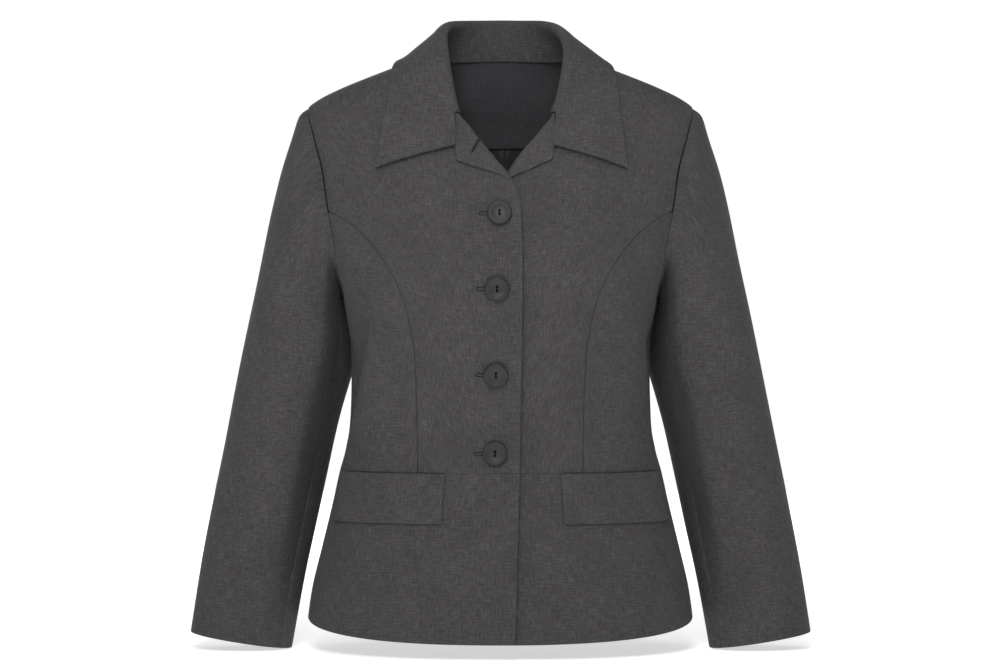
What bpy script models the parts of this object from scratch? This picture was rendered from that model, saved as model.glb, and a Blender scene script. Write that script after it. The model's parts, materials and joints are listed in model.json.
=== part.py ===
"""Women's hip-length blazer in suiting, filled out to its worn shape.

Tables are in millimetres: x outwards from the centre, y from front (-) to back (+), and drop
down from the level of the neck points. The origin is midway between the shoulders, at that level.
"""
import math

import bmesh
import bpy
from mathutils import Matrix, Vector

MM = 0.001

# Walls and gaps
BODY_CLOTH = 2.0
SLEEVE_CLOTH = 1.6
COLLAR_CLOTH = 2.4
LAPEL_CLOTH = 1.8
FLAP_CLOTH = 2.2
FACING_CLOTH = 1.2
LINING_CLOTH = 1.0
SEAM_GAP = 0.3
LYING_GAP = 0.6
LAPEL_GAP = 0.9
BREAK_LAP = 1.6
ROUNDNESS = 2.3
SLEEVE_ROUNDNESS = 2.15

# Levels (drop)
SHOULDER_TIP = 55.0
UNDERARM = 250.0
PRINCESS_TOP = 162.0
WAIST_SEAM = 422.0
HEM_SIDE = 570.0
HEM_FRONT = 587.5
HEM_ROUND = 1.9
FACING_DEPTH = 89.0
FACING_SIDE = 12.0
LINING_END = 245.0

# Bust fullness, from the princess seams
BUST_RISE = 12.0
BUST_X = 85.0
BUST_DROP = 215.0
BUST_WIDTH = 45.0
BUST_HEIGHT = 62.0

# Buttons
BUTTON_RADIUS = 11.75
BUTTON_THICK = 4.2
BUTTON_HOLE = 1.3
BUTTON_SEAT = 0.9
BUTTON_HOLE_APART = 2.3
BUTTON_ROUND = 1.2
BUTTON_PROFILE = (
    # radius, height: back edge, rim, then the dished face
    (BUTTON_RADIUS - BUTTON_ROUND, 0.0),
    (BUTTON_RADIUS, BUTTON_ROUND),
    (BUTTON_RADIUS, 2.6),
    (BUTTON_RADIUS - 0.9, BUTTON_THICK),
    (BUTTON_RADIUS - 2.6, BUTTON_THICK),
    (BUTTON_RADIUS - 4.4, 2.9),
)
BUTTON_DISH = 2.4
BUTTONS = (
    # name, x, drop
    ("button_1", -0.8, 165.0),
    ("button_2", -3.3, 240.6),
    ("button_3", -4.3, 324.8),
    ("button_4", -5.2, 402.7),
)

BODY_COLUMNS = ("drop", "half_width", "side_y", "front_y", "back_y")
BODY_ROWS = (
    (0, 75, 0, -28, 70),
    (14.2, 111.5, 0, -44, 72),
    (35.7, 164.7, 0, -58, 75),
    (46, 185, 0, -63, 77),
    (55, 196.5, 0, -67, 79),
    (66, 200.5, 0, -73, 82),
    (85, 201.5, 0, -82, 88),
    (120, 195, -2, -96, 98),
    (160, 187.5, -4, -111, 107),
    (200, 177, -6, -122, 112),
    (225, 168.5, -7, -126, 112),
    (250, 161, -8, -126, 110),
    (272, 156, -10, -122, 107),
    (297, 152.8, -13, -117, 103),
    (327, 152.5, -14, -111, 100),
    (373, 153.5, -12, -106, 98),
    (400, 156.8, -10, -108, 100),
    (422, 163, -8, -112, 103),
    (454, 170.5, -6, -119, 110),
    (500, 181.5, -4, -128, 120),
    (546, 192, -3, -136, 128),
    (590, 198, -2, -142, 134),
)

ARMHOLE_COLUMNS = ("turn", "front_y", "back_y")
ARMHOLE_ROWS = (
    (0, 0, 0),
    (22.5, -19, 20),
    (45, -34, 36),
    (67.5, -45, 47),
    (90, -52, 54),
    (112.5, -56, 56),
    (135, -49, 46),
    (157.5, -32, 24),
    (180, -8, -8),
)

# Inner edge of each front: neck seam, then roll line, then front edge, past the centre when negative
FRONT_EDGE_COLUMNS = ("drop", "right_x", "left_x")
FRONT_EDGE_ROWS = (
    (0, 71, 71),
    (8, 68.5, 69.5),
    (20, 63, 68.2),
    (34, 57, 67),
    (48, 52, 64.8),
    (60, 47, 60.4),
    (68, 42.5, 54),
    (77, 34, 46),
    (90, 24.6, 35.5),
    (101, 15.4, 25.5),
    (116, 3.4, 14),
    (122, -3.2, 11),
    (128, -8.2, 7.5),
    (134, -12.2, 1),
    (140, -14.9, -7),
    (153, -18.8, -17),
    (175, -21, -21),
    (211, -22, -21.5),
    (300, -21.1, -20.5),
    (422, -19, -19),
    (590, -14.4, -17),
)

PRINCESS_COLUMNS = ("drop", "x")
PRINCESS_ROWS = (
    (162, 172.9),
    (168, 160),
    (177, 147),
    (192, 131),
    (210, 117),
    (231, 104),
    (255, 94.5),
    (278, 89),
    (303, 85),
    (347, 83),
    (422, 81.5),
)

ROLL_COLUMNS = ("drop", "right_x", "left_x")
ROLL_ROWS = (
    (45, 45.3, 59),
    (64, 41, 53),
    (77, 30.6, 42.7),
    (90, 21.2, 32),
    (101, 12, 22),
    (116, 0, 11),
    (122, -5.8, 7.2),
    (131, -11, 1),
)

SIDE_NAMES = {-1: "right", 1: "left"}

# Collar, from the centre back to the front end: neck seam, roll on each side, outer edge on each side.
# bend pulls the fall's line to the corner where the collar's end leaves the gorge, and flattens it there.
COLLAR_COLUMNS = ("neck_turn", "neck_drop", "right_x", "right_z", "left_x", "left_z", "roll_y",
                  "edge_right", "edge_left", "edge_y", "edge_z", "bend")
COLLAR_ROWS = (
    (180, 0, 0, 41.5, 0, 41.5, 75, 0, 0, 89, -26, 0),
    (157, 0, 21, 41, 22, 41, 72, 36, 37, 87, -25, 0),
    (134, 0, 39, 39.5, 41, 39.5, 60, 67, 69, 77, -21, 0),
    (112, 0, 50.5, 36, 53, 34.5, 39, 91, 94, 52, -14, 0),
    (90, 0, 55.9, 29, 60.4, 26.5, 16, 101, 105, 18, -8, 0),
    (None, 0, 56.8, 21.5, 64.4, 19, -4, 104.5, 109, -10, -11, 0),
    (None, 7, 55.9, 12, 66.5, 10, -20, 107.5, 113.5, -28, -23, 0),
    (None, 18, 54.4, 1, 66.4, 0, -33, 109.5, 116, -45, -42, 0),
    (None, 31, 52.1, -14, 64.2, -14, -44, 112.5, 118, -58, -62, 0.1),
    (None, 44, 49.5, -31, 61.4, -31, -55, 116, 120.5, -66, -84, 0.3),
    (None, 56, 46.3, -48, 57.5, -48, -64.5, 119, 122.2, -72, -104.5, 0.62),
    (None, 66, 41.4, -64, 51.5, -64, -71.5, 121.8, 123.6, -76, -122.5, 1.0),
)
COLLAR_ROLL = 3.5
STUB = 3.0
FALL_LIFT = 0.85
END_LIFT = 0.34
CLEAR_STEPS = 12
CLEAR_TOP = -6.0
CLEAR_NEAR = 0.02
GORGE_SHARE = 0.30
GORGE_RIGHT = (43.4, 98.6)
GORGE_LEFT = (50.6, 98.5)
STAND_STEPS = (0.0, 0.35, 0.7, 1.0)
ROLL_TURNS = (-90, -45, 0, 45, 90)
FALL_STEPS = (0.15, 0.30, 0.47, 0.64, 0.82, 1.0)

# Lapels, from the gorge down to the break: point on the roll line, then point on the outer edge
# (columns: roll_drop, edge_x, edge_drop)
LAPEL_RIGHT_ROWS = (
    (66.5, 43.9, 99.3),
    (71, 43.9, 106.5),
    (77, 43.6, 112.6),
    (86, 34.5, 116.8),
    (96, 24, 120.5),
    (106, 13, 123.8),
    (113, 5.5, 126.2),
    (120.5, -2.2, 129.6),
)
LAPEL_LEFT_ROWS = (
    (66.5, 52, 97.7),
    (72, 52, 104.5),
    (79, 51.5, 111.4),
    (88, 41.5, 115.6),
    (98, 32, 119.8),
    (107, 23, 123.6),
    (113, 17.5, 125.8),
    (118.5, 12.5, 128.2),
)
LAPEL_ROLL = 3.3
LAPEL_STEPS = (0.0, 0.33, 0.67, 1.0)
LAPEL_TUCK = 7.0

# Sleeve rings: outer and inner end seen from the front, then middle and half depth
SLEEVE_COLUMNS = ("ring", "outer_x", "outer_drop", "inner_x", "inner_drop", "mid_y", "half_depth")
SLEEVE_ROWS = (
    (0, 197.0, 55, 161.3, 250, 0, 55),
    (1, 204.0, 63, 161.5, 253, 1, 56.5),
    (2, 213.5, 88, 161.0, 258, 4, 58.5),
    (3, 223.5, 118, 160.0, 264, 7, 60),
    (4, 233.5, 158, 158.3, 272, 11, 60),
    (5, 243.0, 203, 155.8, 282, 13, 59),
    (6, 251.5, 243, 154.2, 296, 14, 57.5),
    (7, 261.8, 292, 156.2, 317, 14, 56),
    (8, 272.5, 345, 166.7, 368, 13, 53.5),
    (9, 283.8, 405, 178.4, 426, 9, 51),
    (10, 294.0, 458, 188.6, 477, 3, 48),
    (11, 304.0, 514, 199.8, 532, -7, 43.5),
    (12, 314.0, 585.5, 211.4, 602, -20, 38),
)
SLEEVE_RINGS = (0, 1, 2, 3, 4, 5, 6, 7, 8, 9, 10, 11, 12)
ARMHOLE_FADE = 4.5
ARMHOLE_SHIFT = 0.9
SEAM_TURN = 0.26
FRONT_SEAM = 9
BACK_SEAM = 7
CUFF_FRONT_SHIFT = 9.0
CUFF_BACK_SHIFT = 10.0

# Left front's lap under the right: where it starts from the centre, its fade and the break
LAP_START = 62.0
LAP_FADE = 36.0
BREAK_DROP = 128.0
BREAK_HEIGHT = 20.0

# Pocket flaps
FLAP_DEPTH = 49.0
FLAP_RIGHT = (54.3, 57.4)
FLAP_LEFT = (58.6, 62.6)
FLAP_OUTER = 159.2
FLAP_OUTER_DROP = WAIST_SEAM + 18.0

# Back neck facing and lining
FACING_FALL = 2.2
PLEAT_RISE = 2.6
PLEAT_TURNS = (178.7, 180.3)
LINING_TURNS = (134, 143, 152, 161, 170, 176.5) + PLEAT_TURNS + (182.5, 190, 199, 208, 217, 226)
FACING_TURNS = (103, 112, 123) + LINING_TURNS + (237, 248, 257)

# Rows and columns of the panels
ARMHOLE_MIDDLE = (UNDERARM + SHOULDER_TIP) / 2
ARMHOLE_HALF = (UNDERARM - SHOULDER_TIP) / 2
PRINCESS_TURN = math.degrees(math.acos((ARMHOLE_MIDDLE - PRINCESS_TOP) / ARMHOLE_HALF))
HALF_TURN = 180.0
QUARTER_TURN = 90.0
ARMHOLE_STEPS = 6
ARMHOLE_TURNS = tuple(PRINCESS_TURN * i / ARMHOLE_STEPS for i in range(ARMHOLE_STEPS)) + tuple(
    PRINCESS_TURN + (HALF_TURN - PRINCESS_TURN) * i / ARMHOLE_STEPS for i in range(ARMHOLE_STEPS + 1))
ARMHOLE_DROPS = tuple(ARMHOLE_MIDDLE - ARMHOLE_HALF * math.cos(math.radians(t)) for t in ARMHOLE_TURNS)
SHOULDER_DROPS = (0, 3, 7, 12, 18, 25, 32, 39, 46, 51)
NECK_DROPS = (75, 91, 111, 118, 138)
PRINCESS_DROPS = (165, 170, 177)
WAIST_DROPS = (265, 284, 306, 330, 356, 383, 404, 422)
FRONT_ROWS = tuple(sorted(SHOULDER_DROPS + ARMHOLE_DROPS + NECK_DROPS + PRINCESS_DROPS + WAIST_DROPS))
BACK_ROWS = tuple(sorted(SHOULDER_DROPS + ARMHOLE_DROPS + WAIST_DROPS))
SIDE_ROWS = PRINCESS_DROPS + tuple(d for d in ARMHOLE_DROPS if d > PRINCESS_TOP + 1) + WAIST_DROPS
PEPLUM_STEPS = (0.0, 0.18, 0.4, 0.62, 0.82, 1.0)
FRONT_COLUMNS = (0.0, 0.05, 0.11, 0.18, 0.26, 0.36, 0.48, 0.61, 0.74, 0.87, 1.0)
SIDE_PARTS = 5
BACK_PARTS = 9
PEPLUM_PARTS = 10
PEPLUM_BACK_PARTS = 18
FLAP_ROWS = 3
FLAP_PARTS = 7
FACING_ROWS = 5
LINING_ROWS = 9
BUTTON_SIDES = 24


def curve(columns, rows, name, key=None):
    """Smooth function through one column of a table, with no overshoot between its rows."""
    key = key or columns[0]
    xs = [row[columns.index(key)] for row in rows]
    ys = [row[columns.index(name)] for row in rows]
    steps = [(ys[i + 1] - ys[i]) / (xs[i + 1] - xs[i]) for i in range(len(xs) - 1)]
    slopes = [steps[0]]
    for before, after in zip(steps, steps[1:]):
        if before * after <= 0:
            slopes.append(0.0)
        else:
            slopes.append(2 * before * after / (before + after))
    slopes.append(steps[-1])

    def value(x):
        if x <= xs[0]:
            return ys[0] + slopes[0] * (x - xs[0])
        if x >= xs[-1]:
            return ys[-1] + slopes[-1] * (x - xs[-1])
        i = max(j for j in range(len(xs) - 1) if xs[j] <= x)
        width = xs[i + 1] - xs[i]
        t = (x - xs[i]) / width
        start = (1 + 2 * t) * (1 - t) ** 2 * ys[i] + t * (1 - t) ** 2 * width * slopes[i]
        end = t * t * (3 - 2 * t) * ys[i + 1] + t * t * (t - 1) * width * slopes[i + 1]
        return start + end

    return value


half_width = curve(BODY_COLUMNS, BODY_ROWS, "half_width")
side_y = curve(BODY_COLUMNS, BODY_ROWS, "side_y")
front_y = curve(BODY_COLUMNS, BODY_ROWS, "front_y")
back_y = curve(BODY_COLUMNS, BODY_ROWS, "back_y")
armhole_front = curve(ARMHOLE_COLUMNS, ARMHOLE_ROWS, "front_y")
armhole_back = curve(ARMHOLE_COLUMNS, ARMHOLE_ROWS, "back_y")
princess_x = curve(PRINCESS_COLUMNS, PRINCESS_ROWS, "x")
FRONT_EDGE = {-1: curve(FRONT_EDGE_COLUMNS, FRONT_EDGE_ROWS, "right_x"),
              1: curve(FRONT_EDGE_COLUMNS, FRONT_EDGE_ROWS, "left_x")}
ROLL = {-1: curve(ROLL_COLUMNS, ROLL_ROWS, "right_x"),
        1: curve(ROLL_COLUMNS, ROLL_ROWS, "left_x")}
SLEEVE = {name: curve(SLEEVE_COLUMNS, SLEEVE_ROWS, name) for name in SLEEVE_COLUMNS[1:]}


def power(value, exponent):
    return math.copysign(abs(value) ** exponent, value)


def clamp(value, low=0.0, high=1.0):
    return min(high, max(low, value))


def smooth_step(value):
    value = clamp(value)
    return value * value * (3 - 2 * value)


def body_point(side, turn, drop):
    """Point on the outside of the body; turn runs from 0 at the centre front to 180 at the back."""
    s = math.sin(math.radians(turn))
    c = math.cos(math.radians(turn))
    x = half_width(drop) * power(s, 2 / ROUNDNESS)
    middle = side_y(drop)
    reach = middle - front_y(drop) if c > 0 else back_y(drop) - middle
    y = middle - reach * power(c, 2 / ROUNDNESS)
    if c > 0:
        across = math.exp(-((abs(x) - BUST_X) / BUST_WIDTH) ** 2)
        along = math.exp(-((drop - BUST_DROP) / BUST_HEIGHT) ** 2)
        y -= BUST_RISE * across * along * c ** 0.5
    return Vector((side * x, y, -drop))


def body_normal(side, turn, drop):
    across = body_point(side, turn + 0.4, drop) - body_point(side, turn - 0.4, drop)
    down = body_point(side, turn, drop + 0.4) - body_point(side, turn, drop - 0.4)
    return (across.cross(down) * -side).normalized()


def turn_at_x(x, drop):
    share = clamp(abs(x) / half_width(drop))
    return math.copysign(math.degrees(math.asin(share ** (ROUNDNESS / 2))), x)


def armhole_turn(face, turn):
    """Turn round the body of the armhole's edge at a turn round the armhole."""
    drop = ARMHOLE_MIDDLE - ARMHOLE_HALF * math.cos(math.radians(turn))
    middle = side_y(drop)
    if face == "front":
        share = (middle - armhole_front(turn)) / (middle - front_y(drop))
        return math.degrees(math.acos(clamp(share) ** (ROUNDNESS / 2)))
    share = (armhole_back(turn) - middle) / (back_y(drop) - middle)
    return HALF_TURN - math.degrees(math.acos(clamp(share) ** (ROUNDNESS / 2)))


def armhole_limit(face, drop):
    """Turn of the panel's outer edge at a drop: shoulder seam, armhole, then side seam."""
    if drop <= SHOULDER_TIP + 0.01 or drop >= UNDERARM - 0.01:
        return QUARTER_TURN
    turn = math.degrees(math.acos(clamp((ARMHOLE_MIDDLE - drop) / ARMHOLE_HALF, -1, 1)))
    return armhole_turn(face, turn)


def seam_inset(turn, drop):
    """Half a seam gap, as a turn."""
    step = body_point(1, turn + 0.5, drop) - body_point(1, turn - 0.5, drop)
    return SEAM_GAP / 2 / max(step.length, 0.01)


def under_lap(x, drop):
    """How far the left front lies inwards where the right front covers it."""
    depth = BODY_CLOTH + 2 * SEAM_GAP + BREAK_LAP * math.exp(-((drop - BREAK_DROP) / BREAK_HEIGHT) ** 2)
    return depth * smooth_step((LAP_START - x) / LAP_FADE)


def mesh_object(name, vertices, faces, material, sharp=40.0):
    mesh = bpy.data.meshes.new(name)
    mesh.from_pydata([tuple(v * MM) for v in vertices], [], faces)
    shaped = bmesh.new()
    shaped.from_mesh(mesh)
    bmesh.ops.recalc_face_normals(shaped, faces=shaped.faces)
    shaped.to_mesh(mesh)
    shaped.free()
    for polygon in mesh.polygons:
        polygon.use_smooth = True
    mesh.set_sharp_from_angle(angle=math.radians(sharp))
    mesh.materials.append(material)
    piece = bpy.data.objects.new(name, mesh)
    PARTS.objects.link(piece)
    return piece


def wall(name, grid, normals, thickness, material):
    """Closed sheet of cloth: the grid is its outside and the inside lies one thickness behind."""
    rows = len(grid)
    columns = len(grid[0])
    outside = [point for row in grid for point in row]
    inside = [grid[i][j] - normals[i][j] * thickness for i in range(rows) for j in range(columns)]
    count = rows * columns
    faces = []
    for i in range(rows - 1):
        for j in range(columns - 1):
            a = i * columns + j
            quad = (a, a + 1, a + columns + 1, a + columns)
            faces.append(quad)
            faces.append(tuple(count + k for k in reversed(quad)))
    rim = list(range(columns))
    rim += [i * columns + columns - 1 for i in range(1, rows)]
    rim += [(rows - 1) * columns + j for j in range(columns - 2, -1, -1)]
    rim += [i * columns for i in range(rows - 2, 0, -1)]
    for a, b in zip(rim, rim[1:] + rim[:1]):
        if a < b:
            faces += [(b, a, count + a), (b, count + a, count + b)]
        else:
            faces += [(b, a, count + b), (a, count + a, count + b)]
    return mesh_object(name, outside + inside, faces, material)


def body_sheet(name, side, rows, limits, columns, thickness, material, sink=None):
    """Panel on the body: each row runs between two turns at one drop."""
    grid = []
    normals = []
    for drop in rows:
        first, last = limits(drop)
        line = []
        facing = []
        for share in columns:
            turn = first + (last - first) * share
            normal = body_normal(side, turn, drop)
            point = body_point(side, turn, drop)
            if sink:
                point = point - normal * sink(side * point.x, drop)
            line.append(point)
            facing.append(normal)
        grid.append(line)
        normals.append(facing)
    return wall(name, grid, normals, thickness, material)


def even(count):
    return tuple(i / count for i in range(count + 1))


def front_limits(side):
    def limits(drop):
        inner = turn_at_x(FRONT_EDGE[side](drop), drop)
        if drop < PRINCESS_TOP - 0.01:
            outer = armhole_limit("front", drop)
        else:
            outer = turn_at_x(princess_x(drop), drop)
        return inner, outer - seam_inset(outer, drop)
    return limits


def side_limits(drop):
    inner = turn_at_x(princess_x(drop), drop)
    outer = armhole_limit("front", drop)
    return inner + 2 * seam_inset(inner, drop), outer - seam_inset(outer, drop)


def back_limits(drop):
    outer = armhole_limit("back", drop)
    return outer + seam_inset(outer, drop), HALF_TURN - seam_inset(HALF_TURN, drop)


def hem_drop(turn):
    share = clamp(1 - abs(turn) / QUARTER_TURN)
    return HEM_SIDE + (HEM_FRONT - HEM_SIDE) * (1 - (1 - share) ** HEM_ROUND)


def peplum_sheet(name, side, first, last, columns, sink=None):
    """Skirt panel from the waist seam to the hem, between two turns."""
    grid = []
    normals = []
    for step in PEPLUM_STEPS:
        line = []
        facing = []
        for share in columns:
            near = WAIST_SEAM + SEAM_GAP
            start = first(near) + (last(near) - first(near)) * share
            drop = near + (hem_drop(start) - near) * step
            turn = first(drop) + (last(drop) - first(drop)) * share
            normal = body_normal(side, turn, drop)
            point = body_point(side, turn, drop)
            if sink:
                point = point - normal * sink(side * point.x, drop)
            line.append(point)
            facing.append(normal)
        grid.append(line)
        normals.append(facing)
    return wall(name, grid, normals, BODY_CLOTH, CLOTH)


def clear_of_body(point, gap):
    """The point moved straight off the body until it is at least the gap away."""
    for _ in range(CLEAR_STEPS):
        drop = -point.z
        if drop < CLEAR_TOP:
            return point
        side = 1 if point.x >= 0 else -1
        middle = side_y(drop)
        back = point.y > middle
        reach = back_y(drop) - middle if back else middle - front_y(drop)
        across = (abs(point.x) / half_width(drop)) ** ROUNDNESS
        along = (abs(point.y - middle) / reach) ** ROUNDNESS
        level = (across + along) ** (1 / ROUNDNESS)
        turn = math.degrees(math.atan2(across ** 0.5, along ** 0.5))
        turn = HALF_TURN - turn if back else turn
        base = body_point(side, turn, drop)
        normal = body_normal(side, turn, drop)
        away = (point - base).dot(normal)
        if level > 1 and away < 0:
            away = -away
        if away >= gap - CLEAR_NEAR:
            return point
        point = point + normal * (gap - away)
    return point


def grid_normals(grid, flip):
    rows = len(grid)
    columns = len(grid[0])
    normals = []
    for i in range(rows):
        line = []
        for j in range(columns):
            down = grid[min(i + 1, rows - 1)][j] - grid[max(i - 1, 0)][j]
            across = grid[i][min(j + 1, columns - 1)] - grid[i][max(j - 1, 0)]
            line.append(across.cross(down).normalized() * flip)
        normals.append(line)
    return normals


def folded_section(start, roll, along, points, radius, lift_share):
    """Section of a folded piece: up from its start, round the roll, then down its points."""
    up = start - roll
    up = (up - along * up.dot(along)).normalized()
    over = points[0] - roll
    over = (over - along * over.dot(along)).normalized()
    into = (up + over).normalized()
    across = over - up
    across = (across - into * across.dot(into)).normalized()
    first = roll + (into - across) * radius
    if (start - first).dot(into) < STUB:
        start = first + into * STUB
    section = [start.lerp(first, step) for step in STAND_STEPS[:-1]]
    for turn in ROLL_TURNS:
        angle = math.radians(turn)
        section.append(roll + into * radius * (1 - math.cos(angle)) + across * radius * math.sin(angle))
    lift = (section[-1] - roll) * lift_share
    for share, point in zip(FALL_STEPS, points):
        section.append(point + lift * (1 - share))
    return section


def collar_roll(side, values):
    word = SIDE_NAMES[side]
    return Vector((side * values[f"{word}_x"], values["roll_y"], values[f"{word}_z"]))


def collar_edge(side, values):
    edge_x = values[f"edge_{SIDE_NAMES[side]}"]
    return Vector((side * edge_x, values["edge_y"], values["edge_z"]))


def collar_station(side, place):
    values = dict(zip(COLLAR_COLUMNS, COLLAR_ROWS[place]))
    before = dict(zip(COLLAR_COLUMNS, COLLAR_ROWS[max(place - 1, 0)]))
    after = dict(zip(COLLAR_COLUMNS, COLLAR_ROWS[min(place + 1, len(COLLAR_ROWS) - 1)]))
    along = (collar_roll(side, after) - collar_roll(side, before)).normalized()
    if place == 0:
        along = Vector((side, 0, 0))
    drop = values["neck_drop"]
    if values["neck_turn"] is None:
        turn = turn_at_x(FRONT_EDGE[side](drop), drop)
    else:
        turn = values["neck_turn"]
    neck = body_point(side, turn, drop) - body_normal(side, turn, drop) * COLLAR_CLOTH
    roll = collar_roll(side, values)
    if place == len(COLLAR_ROWS) - 1:
        turn = turn_at_x(abs(roll.x), -roll.z)
        depth = BODY_CLOTH / 2 + (under_lap(abs(roll.x), -roll.z) if side > 0 else 0.0)
        roll = body_point(side, turn, -roll.z) - body_normal(side, turn, -roll.z) * depth
    rise = (roll - neck).normalized()
    neck += rise * (SEAM_GAP + COLLAR_CLOTH * (1 - rise.z ** 2) ** 0.5 * (drop == 0))
    edge = collar_edge(side, values)
    gorge_x, gorge_drop = GORGE_RIGHT if side < 0 else GORGE_LEFT
    last = dict(zip(COLLAR_COLUMNS, COLLAR_ROWS[-1]))
    end_corner = collar_roll(side, last).lerp(collar_edge(side, last), GORGE_SHARE)
    gorge = body_point(side, turn_at_x(gorge_x, gorge_drop), gorge_drop)
    pull = (gorge - end_corner) * values["bend"]
    corner = roll.lerp(edge, GORGE_SHARE) + pull
    points = []
    for share in FALL_STEPS:
        if share <= GORGE_SHARE:
            points.append(roll.lerp(corner, share / GORGE_SHARE))
        else:
            points.append(corner.lerp(edge, (share - GORGE_SHARE) / (1 - GORGE_SHARE)))
    lift_share = FALL_LIFT + (END_LIFT - FALL_LIFT) * values["bend"]
    section = folded_section(neck, roll, along, points, COLLAR_ROLL, lift_share)
    settled = len(STAND_STEPS) - 1 + len(ROLL_TURNS) - 1
    return [point if k < settled else clear_of_body(point, COLLAR_CLOTH + LYING_GAP)
            for k, point in enumerate(section)]


def build_collar():
    right = [collar_station(-1, place) for place in range(len(COLLAR_ROWS))]
    left = [collar_station(1, place) for place in range(len(COLLAR_ROWS))]
    grid = list(reversed(right)) + left[1:]
    return wall("collar", grid, grid_normals(grid, 1), COLLAR_CLOTH, CLOTH)


def lapel_point(side, row, share, out):
    """Point on the way from the roll line to the lapel's edge, the given way off the front."""
    roll_drop, edge_x, edge_drop = row
    x = ROLL[side](roll_drop) * (1 - share) + edge_x * share
    drop = roll_drop * (1 - share) + edge_drop * share
    turn = turn_at_x(x, drop)
    sunk = under_lap(x, drop) if side > 0 else 0.0
    return body_point(side, turn, drop) + body_normal(side, turn, drop) * (out - sunk)


def lapel_station(side, row):
    roll_drop, edge_x, edge_drop = row
    roll_turn = turn_at_x(ROLL[side](roll_drop), roll_drop)
    normal = body_normal(side, roll_turn, roll_drop)
    roll = lapel_point(side, row, 0.0, -BODY_CLOTH / 2)
    span = math.hypot(ROLL[side](roll_drop) - edge_x, roll_drop - edge_drop)
    first = (LAPEL_ROLL + 1.0) / span
    points = [lapel_point(side, row, first + (1 - first) * step, LAPEL_GAP + LAPEL_CLOTH)
              for step in LAPEL_STEPS]
    start = lapel_point(side, row, min(LAPEL_TUCK / span, 1.0), -(BODY_CLOTH + LYING_GAP + LAPEL_CLOTH))
    into = points[0] - roll
    into = (into - normal * into.dot(normal)).normalized()
    section = [start]
    for turn in ROLL_TURNS:
        angle = math.radians(turn)
        over = normal * math.sin(angle) + into * (1 - math.cos(angle))
        section.append(roll + over * LAPEL_ROLL)
    return section + points


def build_lapel(name, side, rows):
    grid = [lapel_station(side, row) for row in rows]
    return wall(name, grid, grid_normals(grid, -side), LAPEL_CLOTH, CLOTH)


def oval_point(side, ring, turn):
    """Point on the sleeve's ring; turn runs from 0 at the top through the front to 180 below."""
    outer = Vector((SLEEVE["outer_x"](ring), 0, -SLEEVE["outer_drop"](ring)))
    inner = Vector((SLEEVE["inner_x"](ring), 0, -SLEEVE["inner_drop"](ring)))
    c = power(math.cos(math.radians(turn)), 2 / SLEEVE_ROUNDNESS)
    s = power(math.sin(math.radians(turn)), 2 / SLEEVE_ROUNDNESS)
    point = (outer + inner) / 2 + (outer - inner) / 2 * c
    point.y = SLEEVE["mid_y"](ring) - SLEEVE["half_depth"](ring) * s
    return Vector((side * point.x, point.y, point.z))


def armhole_point(side, turn):
    face = "front" if turn >= 0 else "back"
    drop = ARMHOLE_MIDDLE - ARMHOLE_HALF * math.cos(math.radians(turn))
    point = body_point(side, armhole_turn(face, abs(turn)), drop)
    lean = math.atan2(SLEEVE_ROWS[0][1] - SLEEVE_ROWS[0][3], 2 * ARMHOLE_HALF)
    away = Vector((side * math.cos(lean), 0, -math.sin(lean)))
    return point + away * ARMHOLE_SHIFT


def sleeve_point(side, ring, turn):
    point = oval_point(side, ring, turn)
    around = (turn + HALF_TURN) % (2 * HALF_TURN) - HALF_TURN
    fade = clamp(1 - ring / ARMHOLE_FADE) ** 2
    if fade > 0:
        point += (armhole_point(side, around) - oval_point(side, 0, around)) * fade
    return point


def sleeve_normal(side, ring, turn):
    across = sleeve_point(side, ring, turn + 0.5) - sleeve_point(side, ring, turn - 0.5)
    down = sleeve_point(side, ring + 0.05, turn) - sleeve_point(side, max(ring - 0.05, 0), turn)
    return (across.cross(down) * side).normalized()


def sleeve_sheet(name, side, turns, first_shift, last_shift):
    """Sleeve panel: its columns start at the armhole's turns and drift to the cuff's seams."""
    grid = []
    normals = []
    for ring in SLEEVE_RINGS:
        line = []
        facing = []
        for turn in turns:
            share = (turn - turns[0]) / (turns[-1] - turns[0])
            shift = (first_shift * (1 - share) + last_shift * share) * ring / SLEEVE_RINGS[-1]
            inset = SEAM_TURN * (1 if share == 0 else -1 if share == 1 else 0)
            line.append(sleeve_point(side, ring, turn + shift + inset))
            facing.append(sleeve_normal(side, ring, turn + shift + inset))
        grid.append(line)
        normals.append(facing)
    return wall(name, grid, normals, SLEEVE_CLOTH, CLOTH)


def flap_sheet(name, side, corners):
    inner_top, inner_low = corners
    grid = []
    normals = []
    for step in even(FLAP_ROWS):
        drop = WAIST_SEAM + 2 * SEAM_GAP + FLAP_DEPTH * step
        first = turn_at_x(inner_top + (inner_low - inner_top) * step, drop)
        last = turn_at_x(FLAP_OUTER, FLAP_OUTER_DROP)
        line = []
        facing = []
        for share in even(FLAP_PARTS):
            turn = first + (last - first) * share
            normal = body_normal(side, turn, drop)
            line.append(body_point(side, turn, drop) + normal * (LYING_GAP + FLAP_CLOTH))
            facing.append(normal)
        grid.append(line)
        normals.append(facing)
    return wall(name, grid, normals, FLAP_CLOTH, CLOTH)


def facing_depth(turn):
    """Depth of the neck facing: deepest at the centre back, shallow at the shoulder seams."""
    share = abs(math.cos(math.radians(turn))) ** FACING_FALL
    return FACING_SIDE + (FACING_DEPTH - FACING_SIDE) * share


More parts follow.
